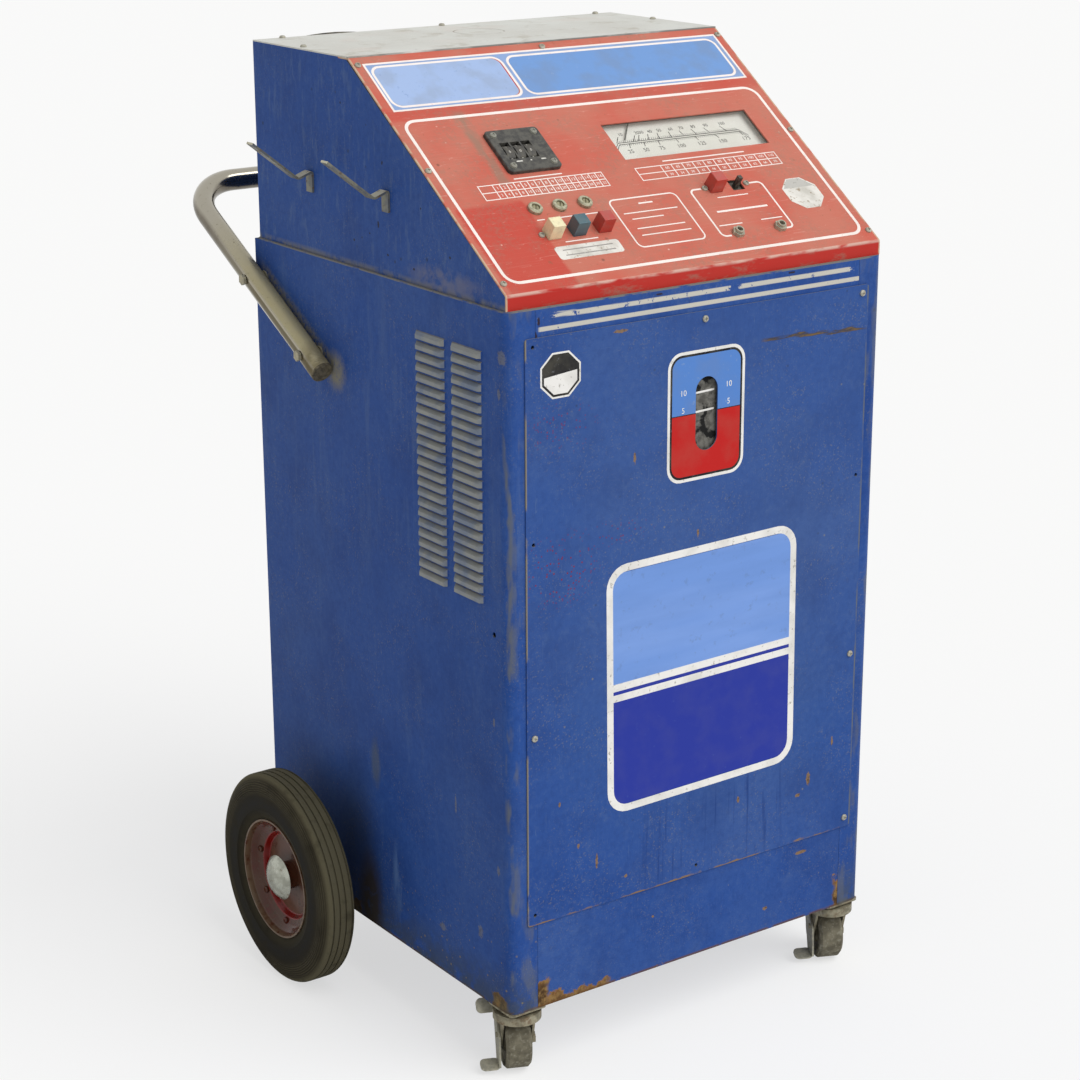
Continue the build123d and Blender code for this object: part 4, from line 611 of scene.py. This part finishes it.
def rounded_box(low, high, radius=0.0, steps=6):
    """Outline of a rectangle, with round corners if it has a radius."""
    if radius <= 0:
        return [(low[0], low[1]), (high[0], low[1]), (high[0], high[1]), (low[0], high[1])]
    centres = [
        (high[0] - radius, high[1] - radius, 0), (low[0] + radius, high[1] - radius, 90),
        (low[0] + radius, low[1] + radius, 180), (high[0] - radius, low[1] + radius, 270),
    ]
    outline = []
    for u, w, start in centres:
        for i in range(steps + 1):
            angle = math.radians(start + 90 * i / steps)
            outline.append((u + radius * math.cos(angle), w + radius * math.sin(angle)))
    return outline


class Print:
    """Flat printed or stuck-on shapes: thin closed sheets that share one mesh, on the face they lie on."""

    em = 1.4

    def __init__(self, name, materials, face):
        self.name = name
        self.materials = materials
        self.face = face
        self.mesh = bmesh.new()

    def add(self, source, place, index):
        """Meshes a filled curve, lays it in place and takes it in."""
        holder = stand("template", source)
        bpy.context.view_layer.update()
        flat = holder.evaluated_get(bpy.context.evaluated_depsgraph_get()).to_mesh().copy()
        flat.transform(place)
        for facet in flat.polygons:
            facet.material_index = index
        self.mesh.from_mesh(flat)
        bpy.data.objects.remove(holder)
        bpy.data.curves.remove(source)
        bpy.data.meshes.remove(flat)

    def shape(self, loops, index=0, thick=0.1):
        """A filled outline; outlines inside it are holes."""
        curve = bpy.data.curves.new("outline", "CURVE")
        curve.dimensions = "2D"
        curve.fill_mode = "BOTH"
        curve.extrude = thick / 2000
        for loop in loops:
            spline = curve.splines.new("POLY")
            spline.points.add(len(loop) - 1)
            for point, (u, w) in zip(spline.points, loop):
                point.co = (u / 1000, w / 1000, 0, 1)
            spline.use_cyclic_u = True
        self.add(curve, self.face, index)

    def bar(self, low, high, radius=0.6, index=0, thick=0.1):
        self.shape([rounded_box(low, high, radius)], index, thick)

    def border(self, low, high, radius, line, index=0):
        """A line round a rectangle."""
        inner_low = (low[0] + line, low[1] + line)
        inner_high = (high[0] - line, high[1] - line)
        self.shape([rounded_box(low, high, radius), rounded_box(inner_low, inner_high, radius - line)], index)

    def line(self, start, end, width):
        a = Vector(start)
        b = Vector(end)
        side = (b - a).normalized().orthogonal() * width / 2
        self.shape([[tuple(a + side), tuple(b + side), tuple(b - side), tuple(a - side)]])

    def number(self, text, u, w, height):
        """A number set in a plain face, centred at u and w."""
        letters = bpy.data.curves.new("number", "FONT")
        letters.body = text
        letters.size = height / 1000 * self.em
        letters.extrude = 0.00005
        letters.align_x = "CENTER"
        letters.align_y = "CENTER"
        letters.resolution_u = 3
        self.add(letters, self.face @ Matrix.Translation((u / 1000, w / 1000, 0)), 0)

    def finished(self, body):
        mesh = bpy.data.meshes.new(self.name)
        self.mesh.to_mesh(mesh)
        self.mesh.free()
        for material in self.materials:
            mesh.materials.append(material)
        piece = stand(self.name, mesh)
        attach(piece, body)


def print_ink(name, colour, ground, seed, wear=0.62, dusty=0.2):
    """Ink or vinyl that has worn through to its ground in spots, with a little dust."""
    ink = Finish(name, colour, 0.55, specular=0.12)
    ink.cloud(ground, 6, seed, wear, 0.08, 0.9, detail=5, harsh=0.7)
    ink.cloud(dust, 28, seed + 1, 0.55, 0.2, dusty, 0.75, detail=5)
    ink.grained(1.0, seed + 2, 0.02, 1)
    return ink.done()


slope_print = Print("control_panel_print", [
    print_ink("white_ink", (240, 230, 224), red_faded, 140, 0.68, 0.1),
    print_ink("header_blue_ink", (138, 163, 206), (196, 196, 200), 143, 0.70),
    print_ink("header_light_ink", (158, 180, 218), (128, 150, 196), 146, 0.66),
    print_ink("header_mid_ink", (112, 150, 204), (150, 170, 208), 149, 0.68),
    print_ink("red_ink", (190, 60, 52), red_faded, 152),
], on_slope(0.02))
header_blue, header_light, header_mid, header_red = range(1, 5)
header_low = (-239, 271)
header_high = (241, 347)
header_line = 2.6
left_field = ((-235, 276), (-66, 342), 13)
right_field = ((-62, 276), (234, 341), 13)
slope_print.border(header_low, header_high, 0, header_line)
header_inside = rounded_box(
    (header_low[0] + header_line, header_low[1] + header_line),
    (header_high[0] - header_line, header_high[1] - header_line),
)
slope_print.shape([header_inside, rounded_box(*left_field), rounded_box(*right_field)], header_blue)
slope_print.border(*left_field, 3.0)
slope_print.border(*right_field, 3.0)
slope_print.bar((-232, 279), (-70.5, 339), 10.5, header_light)
slope_print.bar((-70.4, 290), (-69, 330), 0.6, header_red)
slope_print.bar((-59, 279), (231, 338), 10.5, header_mid)
slope_print.border((-240, 13), (240, 257), 17, 3.8)
slope_print.border((-59.5, 37.5), (32, 110), 8, 1.8)
for low, high in (
    ((-23, 99), (-4, 101)), ((-50, 87), (22, 88.4)), ((-44, 78), (-2, 79.4)),
    ((-46, 64), (18, 65.4)), ((-46, 54), (20, 55.4)),
):
    slope_print.bar(low, high)


def table_grid(low, high, first_cell, cells, middle):
    """A ruled table: an outline with a hole for each cell. Gives the middles of its columns."""
    line = 1.15
    holes = []
    rows = [(low[1] + line, middle - line / 2), (middle + line / 2, high[1] - line)]
    edges = [low[0] + line / 2, first_cell]
    pitch = (high[0] - line / 2 - first_cell) / cells
    edges += [first_cell + pitch * (i + 1) for i in range(cells)]
    for left, right in zip(edges, edges[1:]):
        for bottom, top in rows:
            holes.append(rounded_box((left + line / 2, bottom), (right - line / 2, top)))
    slope_print.shape([rounded_box(low, high)] + holes)
    return [(left + right) / 2 for left, right in zip(edges[1:], edges[2:])]


for i, u in enumerate(table_grid((-201, 130), (-41, 152), -182.5, 16, 140.7)):
    slope_print.number(str(i + 1), u, 146, 4.2)
    slope_print.number(str(2 * (i + 1)), u, 135.6, 3.6)
for i, u in enumerate(table_grid((3, 131), (200, 151), 38, 11, 141)):
    slope_print.number(str(60 + 5 * i), u, 146, 4.0)
    slope_print.number(str(30 + 4 * i), u, 136, 3.6)
for low, high in (
    ((-152, 155.4), (-90, 157)), ((45, 155.6), (160, 157.2)),
    ((-158, 94), (-148, 95.4)), ((-128, 94), (-110, 95.4)), ((-97, 94), (-80, 95.4)),
    ((-142, 59.6), (-100, 61)), ((81, 92.6), (124, 94)), ((67, 71.6), (138, 74.2)),
    ((57, 52), (89, 53.4)), ((116, 53), (146, 54.4)),
):
    slope_print.bar(low, high)


def bracket(side):
    """Half of the open border round the probe sockets."""
    line = 2.2
    left, right, bottom, top = 51, 153, 36, 110
    top_stop, bottom_stop = (68, 64) if side < 0 else (134, 140)
    outer = rounded_box((left, bottom), (right, top), 7)
    inner = rounded_box((left + line, bottom + line), (right - line, top - line), 7 - line)
    outer, inner = [[p for p in loop if (p[0] - (left + right) / 2) * side > 0] for loop in (outer, inner)]
    low_end = [(bottom_stop, bottom), (bottom_stop, bottom + line)]
    high_end = [(top_stop, top - line), (top_stop, top)]
    if side < 0:
        return [high_end[1]] + outer + low_end + inner[::-1] + [high_end[0]]
    half = len(outer) // 2
    outer = outer[half:] + outer[:half]
    inner = inner[half:] + inner[:half]
    return [low_end[0]] + outer + high_end[::-1] + inner[::-1] + [low_end[1]]


for side in (-1, 1):
    slope_print.shape([bracket(side)])
slope_print.finished("cabinet")

# Stickers on the control panel
# A white label under the push buttons and a worn white octagon at the right, both of paper.


def octagon(centre, half_u, half_w):
    turns = [math.radians(22.5 + 45 * i) for i in range(8)]
    return [(centre[0] + half_u * math.cos(t), centre[1] + half_w * math.sin(t)) for t in turns]


labels = Print("control_panel_labels", [
    print_ink("label_paper", (224, 221, 214), (158, 140, 116), 160, 0.61, 0.4),
    print_ink("label_rule", (150, 146, 142), (190, 186, 180), 163),
    print_ink("sticker_band", (186, 184, 178), (140, 138, 130), 166, 0.6),
], on_slope(0.05))
paper, rule, sticker_band = range(3)
labels.bar((-161, 36.5), (-79, 55), 4, paper, 0.2)
for low_w in (48.6, 41.4):
    labels.bar((-152, low_w), (-88, low_w + 1.4), 0.6, rule, 0.24)
sticker_w = 84
band_foot = sticker_w + 9
corners = octagon((197, sticker_w), 25.92, 25.38)
labels.shape([corners], paper, 0.2)
labels.shape(
    [[(corners[1][0] - 1, corners[1][1] - 1), (corners[2][0] + 1, corners[2][1] - 1),
      (corners[3][0] + 2, band_foot), (corners[0][0] - 2, band_foot)]],
    sticker_band, 0.24,
)
labels.finished("cabinet")

# Meter
# A long edgewise meter behind the panel: black shell, white printed card, thin black needle on its
# pivot and a clear window gone dull.


def black_plastic(name, seed, tint=(38, 37, 36), rough=0.5):
    """Black moulding with dust in its corners and dull spots."""
    plastic = Finish(name, tint, rough, specular=0.4)
    plastic.cloud(dust, 5, seed, 0.52, 0.22, 0.42, 0.8, detail=5, harsh=0.65)
    plastic.cover((74, 70, 64), plastic.normal[2].above(0.4, 0.5) * 0.5, 0.7)
    plastic.grained(0.7, seed + 1, 0.03, 2)
    return plastic


black_plastic("meter_shell", 170).on("meter_case")
card = Finish("meter_card", (240, 240, 234), 0.6, specular=0.2)
card.cloud((214, 212, 200), 60, 172, 0.5, 0.3, 0.5, detail=4)
card.on("meter_dial")
needle = Finish("needle_black", (24, 24, 24), 0.5)
needle.cloud(dust, 4, 174, 0.5, 0.3, 0.2)
needle.on("meter_needle")
window = Finish("meter_window", (214, 212, 200), 0.12, specular=0.5)
window.cloud(dust, 26, 176, 0.45, 0.3, 0.4, 0.5, detail=5)
window.shader.inputs["Alpha"].default_value = 0.10
window.on("meter_window")

dial_depth = -9.0
upper_arc = 199
lower_arc = 196.4
dial_ink = print_ink("dial_ink", (34, 34, 36), (120, 118, 112), 178, 0.75)
dial = Print("meter_scale", [dial_ink], on_slope(dial_depth + 0.08))
for arc in (upper_arc, lower_arc):
    dial.line((15, arc), (185, arc), 0.9)
for start, end in (
    ((15, upper_arc), (6, 190.5)), ((15, lower_arc), (9, 189.5)),
    ((185, upper_arc), (193, 189)), ((185, lower_arc), (190, 188.5)),
):
    dial.line(start, end, 0.8)
upper_feet = (13, 36, 43, 57, 72, 89, 107, 125, 144, 168)
upper_heads = (20, 43, 49, 61, 74, 90, 105, 122, 140, 163)
for i, (foot_u, head_u) in enumerate(zip(upper_feet, upper_heads)):
    dial.line((foot_u, upper_arc), (head_u, 208), 0.9)
    dial.number(str(10 * (i + 1)), head_u + 5, 211.5, 4.6)
for i in range(60):
    u = 16 + i * (184 - 16) / 59
    dial.line((u, upper_arc), (u + (93 - u) * 0.03, 202.5), 0.45)
    dial.line((u, lower_arc), (u, 193.6), 0.45)
for head_u, number_u, text in (
    (29, 24, "25"), (49, 45, "50"), (68, 67, "75"), (93, 94, "100"), (120, 123, "125"), (148, 153, "150"),
    (184, 187, "175"),
):
    dial.line((head_u, lower_arc), (head_u + (number_u - head_u) * 0.6, 190), 0.9)
    dial.number(text, number_u, 184.5, 5.6)
dial.finished("cabinet")

# Thumbwheel unit
# Three numbered wheels on one pin, in a black moulding that four screws hold to the panel.

moulding = Finish("thumbwheel_moulding", (46, 45, 43), 0.5, specular=0.4)
moulding.cloud((104, 102, 94), 8, 184, 0.50, 0.14, 0.5, 0.8, detail=6, harsh=0.7)
unit_u, unit_w = (-120, 193.75)
screws_u, screws_w = (26, 23.25)
screw_head = 4.0
beside = (moulding.place[0] - unit_u).size() - screws_u
above = (up_the_slope(moulding) - unit_w).size() - screws_w
moulding.cover((150, 150, 138), beside.hypot(above).below(screw_head, 0.4) * 0.85, 0.45)
moulding.grained(0.7, 185, 0.03, 2)
moulding.on("thumbwheel_bezel")
digit_ink = print_ink("digit_ink", (214, 212, 204), (120, 118, 112), 186, 0.66)
wheel_plastic = black_plastic("thumbwheel_plastic", 188, (30, 30, 30), 0.4)
wheel_faces = 20
digit_lift = 0.00006
bezel_height = 5.0
wheel_names = ("thumbwheel_1", "thumbwheel_2", "thumbwheel_3")
wheel_plastic.on(*wheel_names)
for name in wheel_names:
    low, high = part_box(name)
    middle = (low + high) / 2
    apothem = (high.z - low.z) / 2 * math.cos(math.pi / wheel_faces)
    digits = Print(name + "_digits", [digit_ink], None)
    for k in range(10):
        turn = math.pi * (4 * k - 1) / wheel_faces
        out = slope_up * math.sin(turn) + slope_out * math.cos(turn)
        up = slope_up * math.cos(turn) - slope_out * math.sin(turn)
        digits.face = upright(up, out, middle + out * (apothem + digit_lift))
        digits.number(str(k), 0, 0, 3.2)
    digits.finished(name)
marks = Print("thumbwheel_marks", [digit_ink], on_slope(bezel_height + 0.04))
for left, right in ((-139, -131), (-121, -119), (-107, -101)):
    marks.bar((left, 175.2), (right, 177), 0.5)
marks.finished("cabinet")

# Lamps, push buttons and sockets
# Three signal lamps in dull green bezels, glossy moulded push buttons, a bare black plunger and two
# zinc sockets with hexagon nuts.

lamp_metal = Finish("lamp_bezel_metal", (178, 175, 150), 0.4, metal=0.3)
lamp_metal.cloud((108, 104, 82), 3, 200, 0.52, 0.2, 0.6, 0.7, detail=4)
lamp_metal.grained(0.8, 201, 0.04)
lamp_metal.on("lamp_bezels")
lens_glass = Finish("lamp_lens", (150, 144, 112), 0.25, specular=0.5)
lens_glass.cloud((84, 78, 56), 3, 203, 0.52, 0.2, 0.5)
lens_glass.on("lamp_lenses")
for piece, name, colour, seed in (
    ("button_ivory", "ivory_cap", (236, 226, 184), 210), ("button_teal", "teal_cap", (44, 88, 102), 213),
    ("button_red", "red_cap", (178, 52, 44), 216), ("probe_button", "probe_red_cap", (184, 58, 48), 219),
):
    cap = Finish(name, colour, 0.28, specular=0.5)
    cap.cloud((90, 80, 66), 3.5, seed, 0.62, 0.2, 0.2, 0.5, detail=4)
    cap.cloud(dust, 12, seed + 1, 0.5, 0.3, 0.18)
    cap.shader.inputs["Coat Weight"].default_value = 0.25
    cap.on(piece)
black_plastic("plunger_plastic", 222, (26, 26, 26)).on("probe_plunger")
black_plastic("switch_plastic", 224).on("switch_bodies")
zinc_plate("jack_zinc", 226, (188, 184, 162), 0.2).on("probe_jacks")
zinc_plate("screw_zinc", 229, (190, 186, 170), 0.35).on("panel_screws")

# Decals on the service panel
# Printed vinyl: the level decal round the sight slot, the large badge and an octagon sticker.

vinyl_white = print_ink("vinyl_white", (228, 226, 222), (150, 146, 138), 240, 0.64)
badge_sky = Finish("vinyl_badge_sky", (110, 146, 210), 0.5, specular=0.12)
badge_sky.cloud((128, 160, 220), 60, 252, 0.5, 0.2, 0.5, stretch=(4, 1, 0.6), detail=5)
badge_sky.cloud((100, 134, 194), 40, 253, 0.54, 0.2, 0.4, stretch=(4, 1, 0.7), detail=5)
badge_sky.cloud((96, 116, 150), 10, 254, 0.62, 0.08, 0.3, detail=6, harsh=0.7)


def on_front(n, piece="front_panel"):
    """Frame on a sheet that faces front, x across and z up, raised by n millimetres."""
    return Matrix(((1, 0, 0, 0), (0, 0, -1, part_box(piece)[0].y - n / 1000), (0, 1, 0, 0), (0, 0, 0, 1)))


decals = Print("service_panel_decals", [
    vinyl_white,
    print_ink("vinyl_black", (28, 28, 32), (100, 104, 112), 243, 0.64),
    print_ink("vinyl_sky", (84, 128, 196), (112, 142, 190), 246, 0.66, 0.12),
    print_ink("vinyl_red", (184, 32, 30), (140, 56, 50), 249, 0.70, 0.1),
    badge_sky.done(),
    print_ink("vinyl_royal", (40, 54, 148), (60, 76, 150), 256, 0.68, 0.05),
], on_front(0.05))
white, black, level_blue, level_red, badge_light, badge_royal = range(6)
slot_hole = rounded_box((-11, 683.5), (19, 764.5), 14.9, 12)
white_inside = rounded_box((-45.6, 655.4), (52.6, 791.6), 15)
black_inside = rounded_box((-43, 658), (50, 789), 12.6)
split = 726.0


def half_field(side):
    """Upper or lower half of the decal's field, round the slot."""
    level = split + side / 2
    start, end, slot_start, slot_end = (50, -43, -11, 19) if side > 0 else (-43, 50, 19, -11)
    arc, slot_arc = [[p for p in loop if (p[1] - split) * side > 0] for loop in (black_inside, slot_hole)]
    return [(start, level)] + arc + [(end, level), (slot_start, level)] + slot_arc[::-1] + [(slot_end, level)]


decals.shape([rounded_box((-49, 652), (56, 795), 18), white_inside], white)
decals.shape([white_inside, black_inside], black)
decals.shape([half_field(1)], level_blue)
decals.shape([half_field(-1)], level_red)
for left, right in ((-43, -11), (19, 50)):
    decals.bar((left, split - 0.5), (right, split + 0.5), 0, black)
decals.face = on_front(0.12)
for text, number_x, number_z in (("10", 34, 752), ("5", 34, 733), ("10", -28, 750), ("5", -28, 731)):
    decals.number(text, number_x, number_z, 6.4)

badge_lean = math.radians(0.7)
badge_middle = Matrix.Translation((0.005, 0.434, 0))
decals.face = on_front(0.05) @ badge_middle @ Matrix.Rotation(badge_lean, 4, "Z") @ badge_middle.inverted()
badge_left, badge_right, badge_foot, badge_head = -118.5, 129.5, 299.5, 568.5
badge_inside = rounded_box((badge_left, badge_foot), (badge_right, badge_head), 19)
decals.shape([rounded_box((-127, 291), (138, 577), 27), badge_inside], white)
for bottom, top, ink in (
    (442.5, badge_head, badge_light), (434.0, 442.5, white), (430.0, 434.0, badge_royal),
    (422.0, 430.0, white), (badge_foot, 422.0, badge_royal),
):
    curved = [p for p in badge_inside if bottom < p[1] < top]
    if top == badge_head:
        outline = [(badge_right, bottom)] + curved + [(badge_left, bottom)]
    elif bottom == badge_foot:
        outline = [(badge_left, top)] + curved + [(badge_right, top)]
    else:
        outline = rounded_box((badge_left, bottom), (badge_right, top))
    decals.shape([outline], ink)

sticker_z = 794
whole, ring, inner = [octagon((-188, sticker_z), 27.5 * share, 26 * share) for share in (1.0, 0.92, 0.82)]
left_end = (min(p[0] for p in inner), sticker_z - 1)
right_end = (max(p[0] for p in inner), sticker_z + 3)
lower_half = [left_end] + [p for p in inner if p[1] < sticker_z] + [right_end]
for outline, raised, ink in ((whole, 0.05, white), (ring, 0.08, black), (lower_half, 0.12, white)):
    decals.face = on_front(raised)
    decals.shape([outline], ink, 0.12)
decals.finished("cabinet")

# Level flag
# The grey plate behind the sight slot rides up with the tank's platform. White lines mark the levels.

flag = Finish("flag_grey", (110, 108, 102), 0.6)
flag.cloud((60, 58, 54), 7, 260, 0.5, 0.2, 0.8, 0.8, detail=5, harsh=0.65)
flag.cloud((14, 14, 14), 16, 261, 0.56, 0.06, 1.0, 0.9, detail=4)
flag.on("level_flag")
flag_lines = Print("level_flag_lines", [vinyl_white], on_front(0.05, "level_flag"))
for line_z in (747, 726):
    flag_lines.line((-10, line_z - 0.4), (18, line_z + 0.6), 2.2)
flag_lines.finished("scale")

# Hose hooks
# Two bent strips of painted steel on the left of the console, lighter on their upward faces.

hook = Finish("hook_strip_paint", (122, 121, 108), 0.4, metal=0.2)
hook.cloud((74, 82, 98), 14, 270, 0.54, 0.12, 0.6, 0.45, detail=4)
# lighter on the upward faces
hook.cover((196, 191, 166), hook.normal[2].above(0.3, 0.3) * 0.85, 0.4)
hook.cloud(rust_brown, 5, 272, 0.62, 0.1, 0.7, 0.85, detail=5)
hook.on("hose_hooks")

# Push handle
# Chromed tube bent to a U and bolted to both sides. Dust and oil dull its arms, and its ends are
# closed by worn caps. Its upper bar's lower faces and the arms' flanks turned from the camera carry
# painted dark reflection.

chrome = Finish("dusty_chrome", (160, 155, 142), 0.12, metal=1.0)
x, y, z = chrome.place
arm = y.below(262, 110) * x.size().above(244, 26)
patchiness = chrome.noise(24, 280, detail=6, harsh=0.6)
normal_x, normal_y, normal_z = chrome.normal
outward = normal_x * (x.above(0, 1) * 2 - 1)
toward_viewer = normal_y * -0.337 + normal_z * 0.548 - outward * 0.766
patchy = patchiness.math("MULTIPLY_ADD", 0.7, 0.45, clamp=True)
# painted dark reflection on the upper bar, on all but its upward faces
chrome.cover((92, 84, 74), arm.rest() * normal_z.below(0.42, 0.3) * patchy * 0.9, 0.2)
# painted dark reflection on the arms' flanks that turn away from the camera
chrome.cover((98, 90, 68), arm * toward_viewer.between(-0.92, -0.50, 0.14) * 0.9, 0.3)
dusted = arm * toward_viewer.above(-0.34, 0.2)
chrome.cover((170, 160, 120), dusted * patchy, 0.55)
chrome.bare(dusted * 0.9, 0.15)
chrome.cover((96, 86, 62), y.below(108, 18) * patchiness.above(0.42, 0.2) * 0.6, 0.7)
chrome.cloud((96, 88, 70), 5, 281, 0.64, 0.06, 0.5, 0.6, detail=6, harsh=0.7)
chrome.grained(30, 282, 0.4, 1)
chrome.on("handle_tube")
plug = Finish("handle_plug", (112, 104, 84), 0.6, metal=0.3)
plug.cloud((70, 64, 52), 4, 284, 0.5, 0.25, 0.7, 0.8, detail=4)
plug.on("handle_plugs")
zinc_plate("handle_bolt_zinc", 286, (172, 164, 136), 0.15).on("handle_bolts")

# Rear wheels
# Semi-pneumatic tyres, dusty on the tread and with fine moulded rings on their walls, on pressed steel
# rims. The rims are sprayed dark red and muddy, with a domed cap over the axle's end.


def from_hub(paint, piece):
    """Distances from a wheel's middle plane and from its axis, in millimetres."""
    low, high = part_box(piece)
    hub = (low + high) / 2
    x, y, z = paint.place
    radius = (y - (hub.y - cabinet_middle.y) * 1000).hypot(z - hub.z * 1000)
    return (x - hub.x * 1000).size(), radius


for side, seed in (("left", 300), ("right", 320)):
    rubber = Finish(side + "_tyre_rubber", (38, 34, 23), 0.7, specular=0.08)
    from_middle, radius = from_hub(rubber, side + "_tyre")
    tread = radius.above(121.5, 5)
    rubber.cloud((96, 91, 72), 16, seed, 0.26, 0.4, 0.85, 0.9, tread, detail=4)
    wall_foot = radius.between(104, 122, 7)
    rubber.cloud((74, 69, 54), 34, seed + 1, 0.38, 0.35, 0.75, 0.85, wall_foot, detail=5)
    black_band = radius.between(83, 100, 16)
    rubber.cloud((16, 15, 13), 14, seed + 2, 0.42, 0.16, 0.85, 0.5, black_band, detail=6, harsh=0.75)
    rubber.cloud((56, 52, 40), 12, seed + 3, 0.36, 0.3, 0.65, 0.85, radius.below(80, 7), detail=4)
    # painted shade in two grooves on each side of the tread's middle
    for groove in (4.0, 12.0):
        rubber.cover((64, 60, 48), tread * from_middle.between(groove - 0.9, groove + 0.9, 0.9) * 0.6, 0.9)
    waves = (radius * 2.4).math("SINE")
    wall = radius.between(105, 120, 3)
    # painted shade in the troughs of the wall's rings
    rubber.cover((26, 24, 19), waves.below(-0.4, 0.5) * wall * 0.6)
    rubber.relief(waves * wall, 0.4)
    rubber.grained(2.5, seed + 4, 0.15)
    rubber.on(side + "_tyre")

    gloss = Finish(side + "_rim_enamel", (84, 16, 10), 0.16, specular=0.2)
    radius = from_hub(gloss, side + "_rim")[1]
    gloss.cloud((74, 50, 30), 26, seed + 7, 0.40, 0.3, 0.75, 0.25, detail=6, harsh=0.62)
    gloss.cloud((108, 72, 52), 18, seed + 10, 0.42, 0.25, 0.5, 0.45, radius.below(49, 3), detail=5)
    gloss.cover((128, 12, 8), radius.between(49, 54, 1.2) * 0.9, 0.2)
    gloss.cloud((120, 104, 82), 9, seed + 8, 0.4, 0.2, 0.6, 0.5, radius.above(68.5, 2), detail=4)
    gloss.cloud((70, 52, 38), 6, seed + 9, 0.64, 0.08, 0.7, 0.6, detail=5)
    gloss.shader.inputs["Coat Weight"].default_value = 0.25
    gloss.shader.inputs["Coat Roughness"].default_value = 0.12
    gloss.on(side + "_rim")

    dome = Finish(side + "_hub_cap_zinc", (178, 180, 168), 0.24, metal=0.7, specular=0.5)
    dome.cloud((112, 112, 100), 12, seed + 12, 0.52, 0.14, 0.5, 0.5, detail=6, harsh=0.7)
    dome.cloud(rust_brown, 5, seed + 13, 0.66, 0.08, 0.5, 0.8, detail=5)
    dome.grained(3, seed + 14, 0.06)
    dome.on(side + "_hub_cap")
zinc_plate("axle_steel", 318, (120, 118, 110), 0.6).on("rear_axle")

# Front casters
# Swivel casters of pressed steel, browned with rust and oil, with grey rubber wheels and a brake
# rocker that has a pad for locking and one for releasing.


def old_steel(name, seed):
    """Pressed steel whose plating has gone dull and brown."""
    steel = Finish(name, (150, 144, 122), 0.5, metal=0.35)
    steel.cloud(rust_brown, 9, seed, 0.56, 0.14, 0.6, 0.8, detail=6, harsh=0.65)
    steel.cloud((70, 66, 54), 14, seed + 1, 0.54, 0.2, 0.6, 0.7, detail=4)
    steel.cloud((170, 164, 144), 5, seed + 2, 0.62, 0.12, 0.6, 0.6)
    steel.grained(1.5, seed + 3, 0.08)
    return steel


for side, seed in (("left", 340), ("right", 360)):
    old_steel(side + "_fork_steel", seed).on(side + "_caster_fork")
    roller = Finish(side + "_caster_rubber", (112, 107, 90), 0.65, specular=0.25)
    roller.cloud((78, 73, 60), 9, seed + 5, 0.48, 0.25, 0.7, 0.8, detail=4)
    roller.cloud((148, 144, 128), 4, seed + 6, 0.6, 0.15, 0.5)
    roller.grained(1.8, seed + 7, 0.12)
    roller.on(side + "_caster_wheel")
    zinc_plate(side + "_brake_zinc", seed + 9, (182, 178, 158), 0.25).on(side + "_caster_brake")
old_steel("caster_plate_steel", 380).on("caster_plates")

# Inside the cabinet
# The shelf with the scale's spring housing, the platform and supply tank, the vacuum pump, the
# valves, the circuit box, and the fittings on the console's back.

zinc_plate("shelf_zinc", 400, (150, 148, 140), 0.2).on("scale_shelf")
zinc_plate("platform_zinc", 403, (160, 158, 150), 0.2).on("tank_platform")
tank = Finish("tank_enamel", (196, 198, 192), 0.35)
tank.cloud((150, 148, 140), 50, 406, 0.52, 0.2, 0.5, 0.5, detail=4)
tank.cloud(rust_brown, 6, 407, 0.64, 0.08, 0.5, 0.8, detail=5, harsh=0.7)
tank.on("supply_tank")
pump = Finish("pump_enamel", (76, 79, 84), 0.45, metal=0.1)
pump.cloud((40, 40, 42), 20, 410, 0.5, 0.2, 0.6, 0.6, detail=4)
pump.grained(2.2, 411, 0.2)
pump.on("vacuum_pump")
brass = Finish("brass_block", (178, 146, 84), 0.35, metal=0.9)
brass.cloud((110, 92, 56), 12, 413, 0.5, 0.2, 0.6, 0.55, detail=4)
brass.on("valve_manifold")
zinc_plate("circuit_box_zinc", 415, (170, 168, 160), 0.1).on("circuit_box")
zinc_plate("rear_fitting_metal", 418, (168, 156, 118), 0.25).on("rear_fittings")

# Hem behind the top
# The back sheet's hem has sprung up a little behind the left of the top, a thin dark arc.

hem_steel = Finish("hem_steel", (70, 66, 60), 0.6, metal=0.3)
hem_steel.cloud(dust, 10, 430, 0.5, 0.2, 0.6, 0.8)
top_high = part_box("console_top")[1]
hem = bmesh.new()
hem_left = -0.192
hem_right = -0.104
hem_rise = 0.0026
hem_sheet = 0.0012
hem_steps = 16
rows = []
for i in range(hem_steps + 1):
    along = i / hem_steps
    x = hem_left + (hem_right - hem_left) * along
    y = top_high.y - 0.0005
    z = top_high.z - 0.001 + hem_rise * math.sin(math.pi * along)
    corners = ((y, z - 0.004), (y + hem_sheet, z - 0.004), (y + hem_sheet, z), (y, z))
    rows.append([hem.verts.new((x, a, b)) for a, b in corners])
for first, second in zip(rows, rows[1:]):
    for k in range(4):
        hem.faces.new((first[k], second[k], second[(k + 1) % 4], first[(k + 1) % 4]))
hem.faces.new(rows[0])
hem.faces.new(rows[-1][::-1])
bmesh.ops.recalc_face_normals(hem, faces=hem.faces)
hem_mesh = bpy.data.meshes.new("back_hem")
hem.to_mesh(hem_mesh)
hem.free()
hem_mesh.materials.append(hem_steel.done())
hem_piece = stand("back_hem", hem_mesh)
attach(hem_piece, "cabinet")
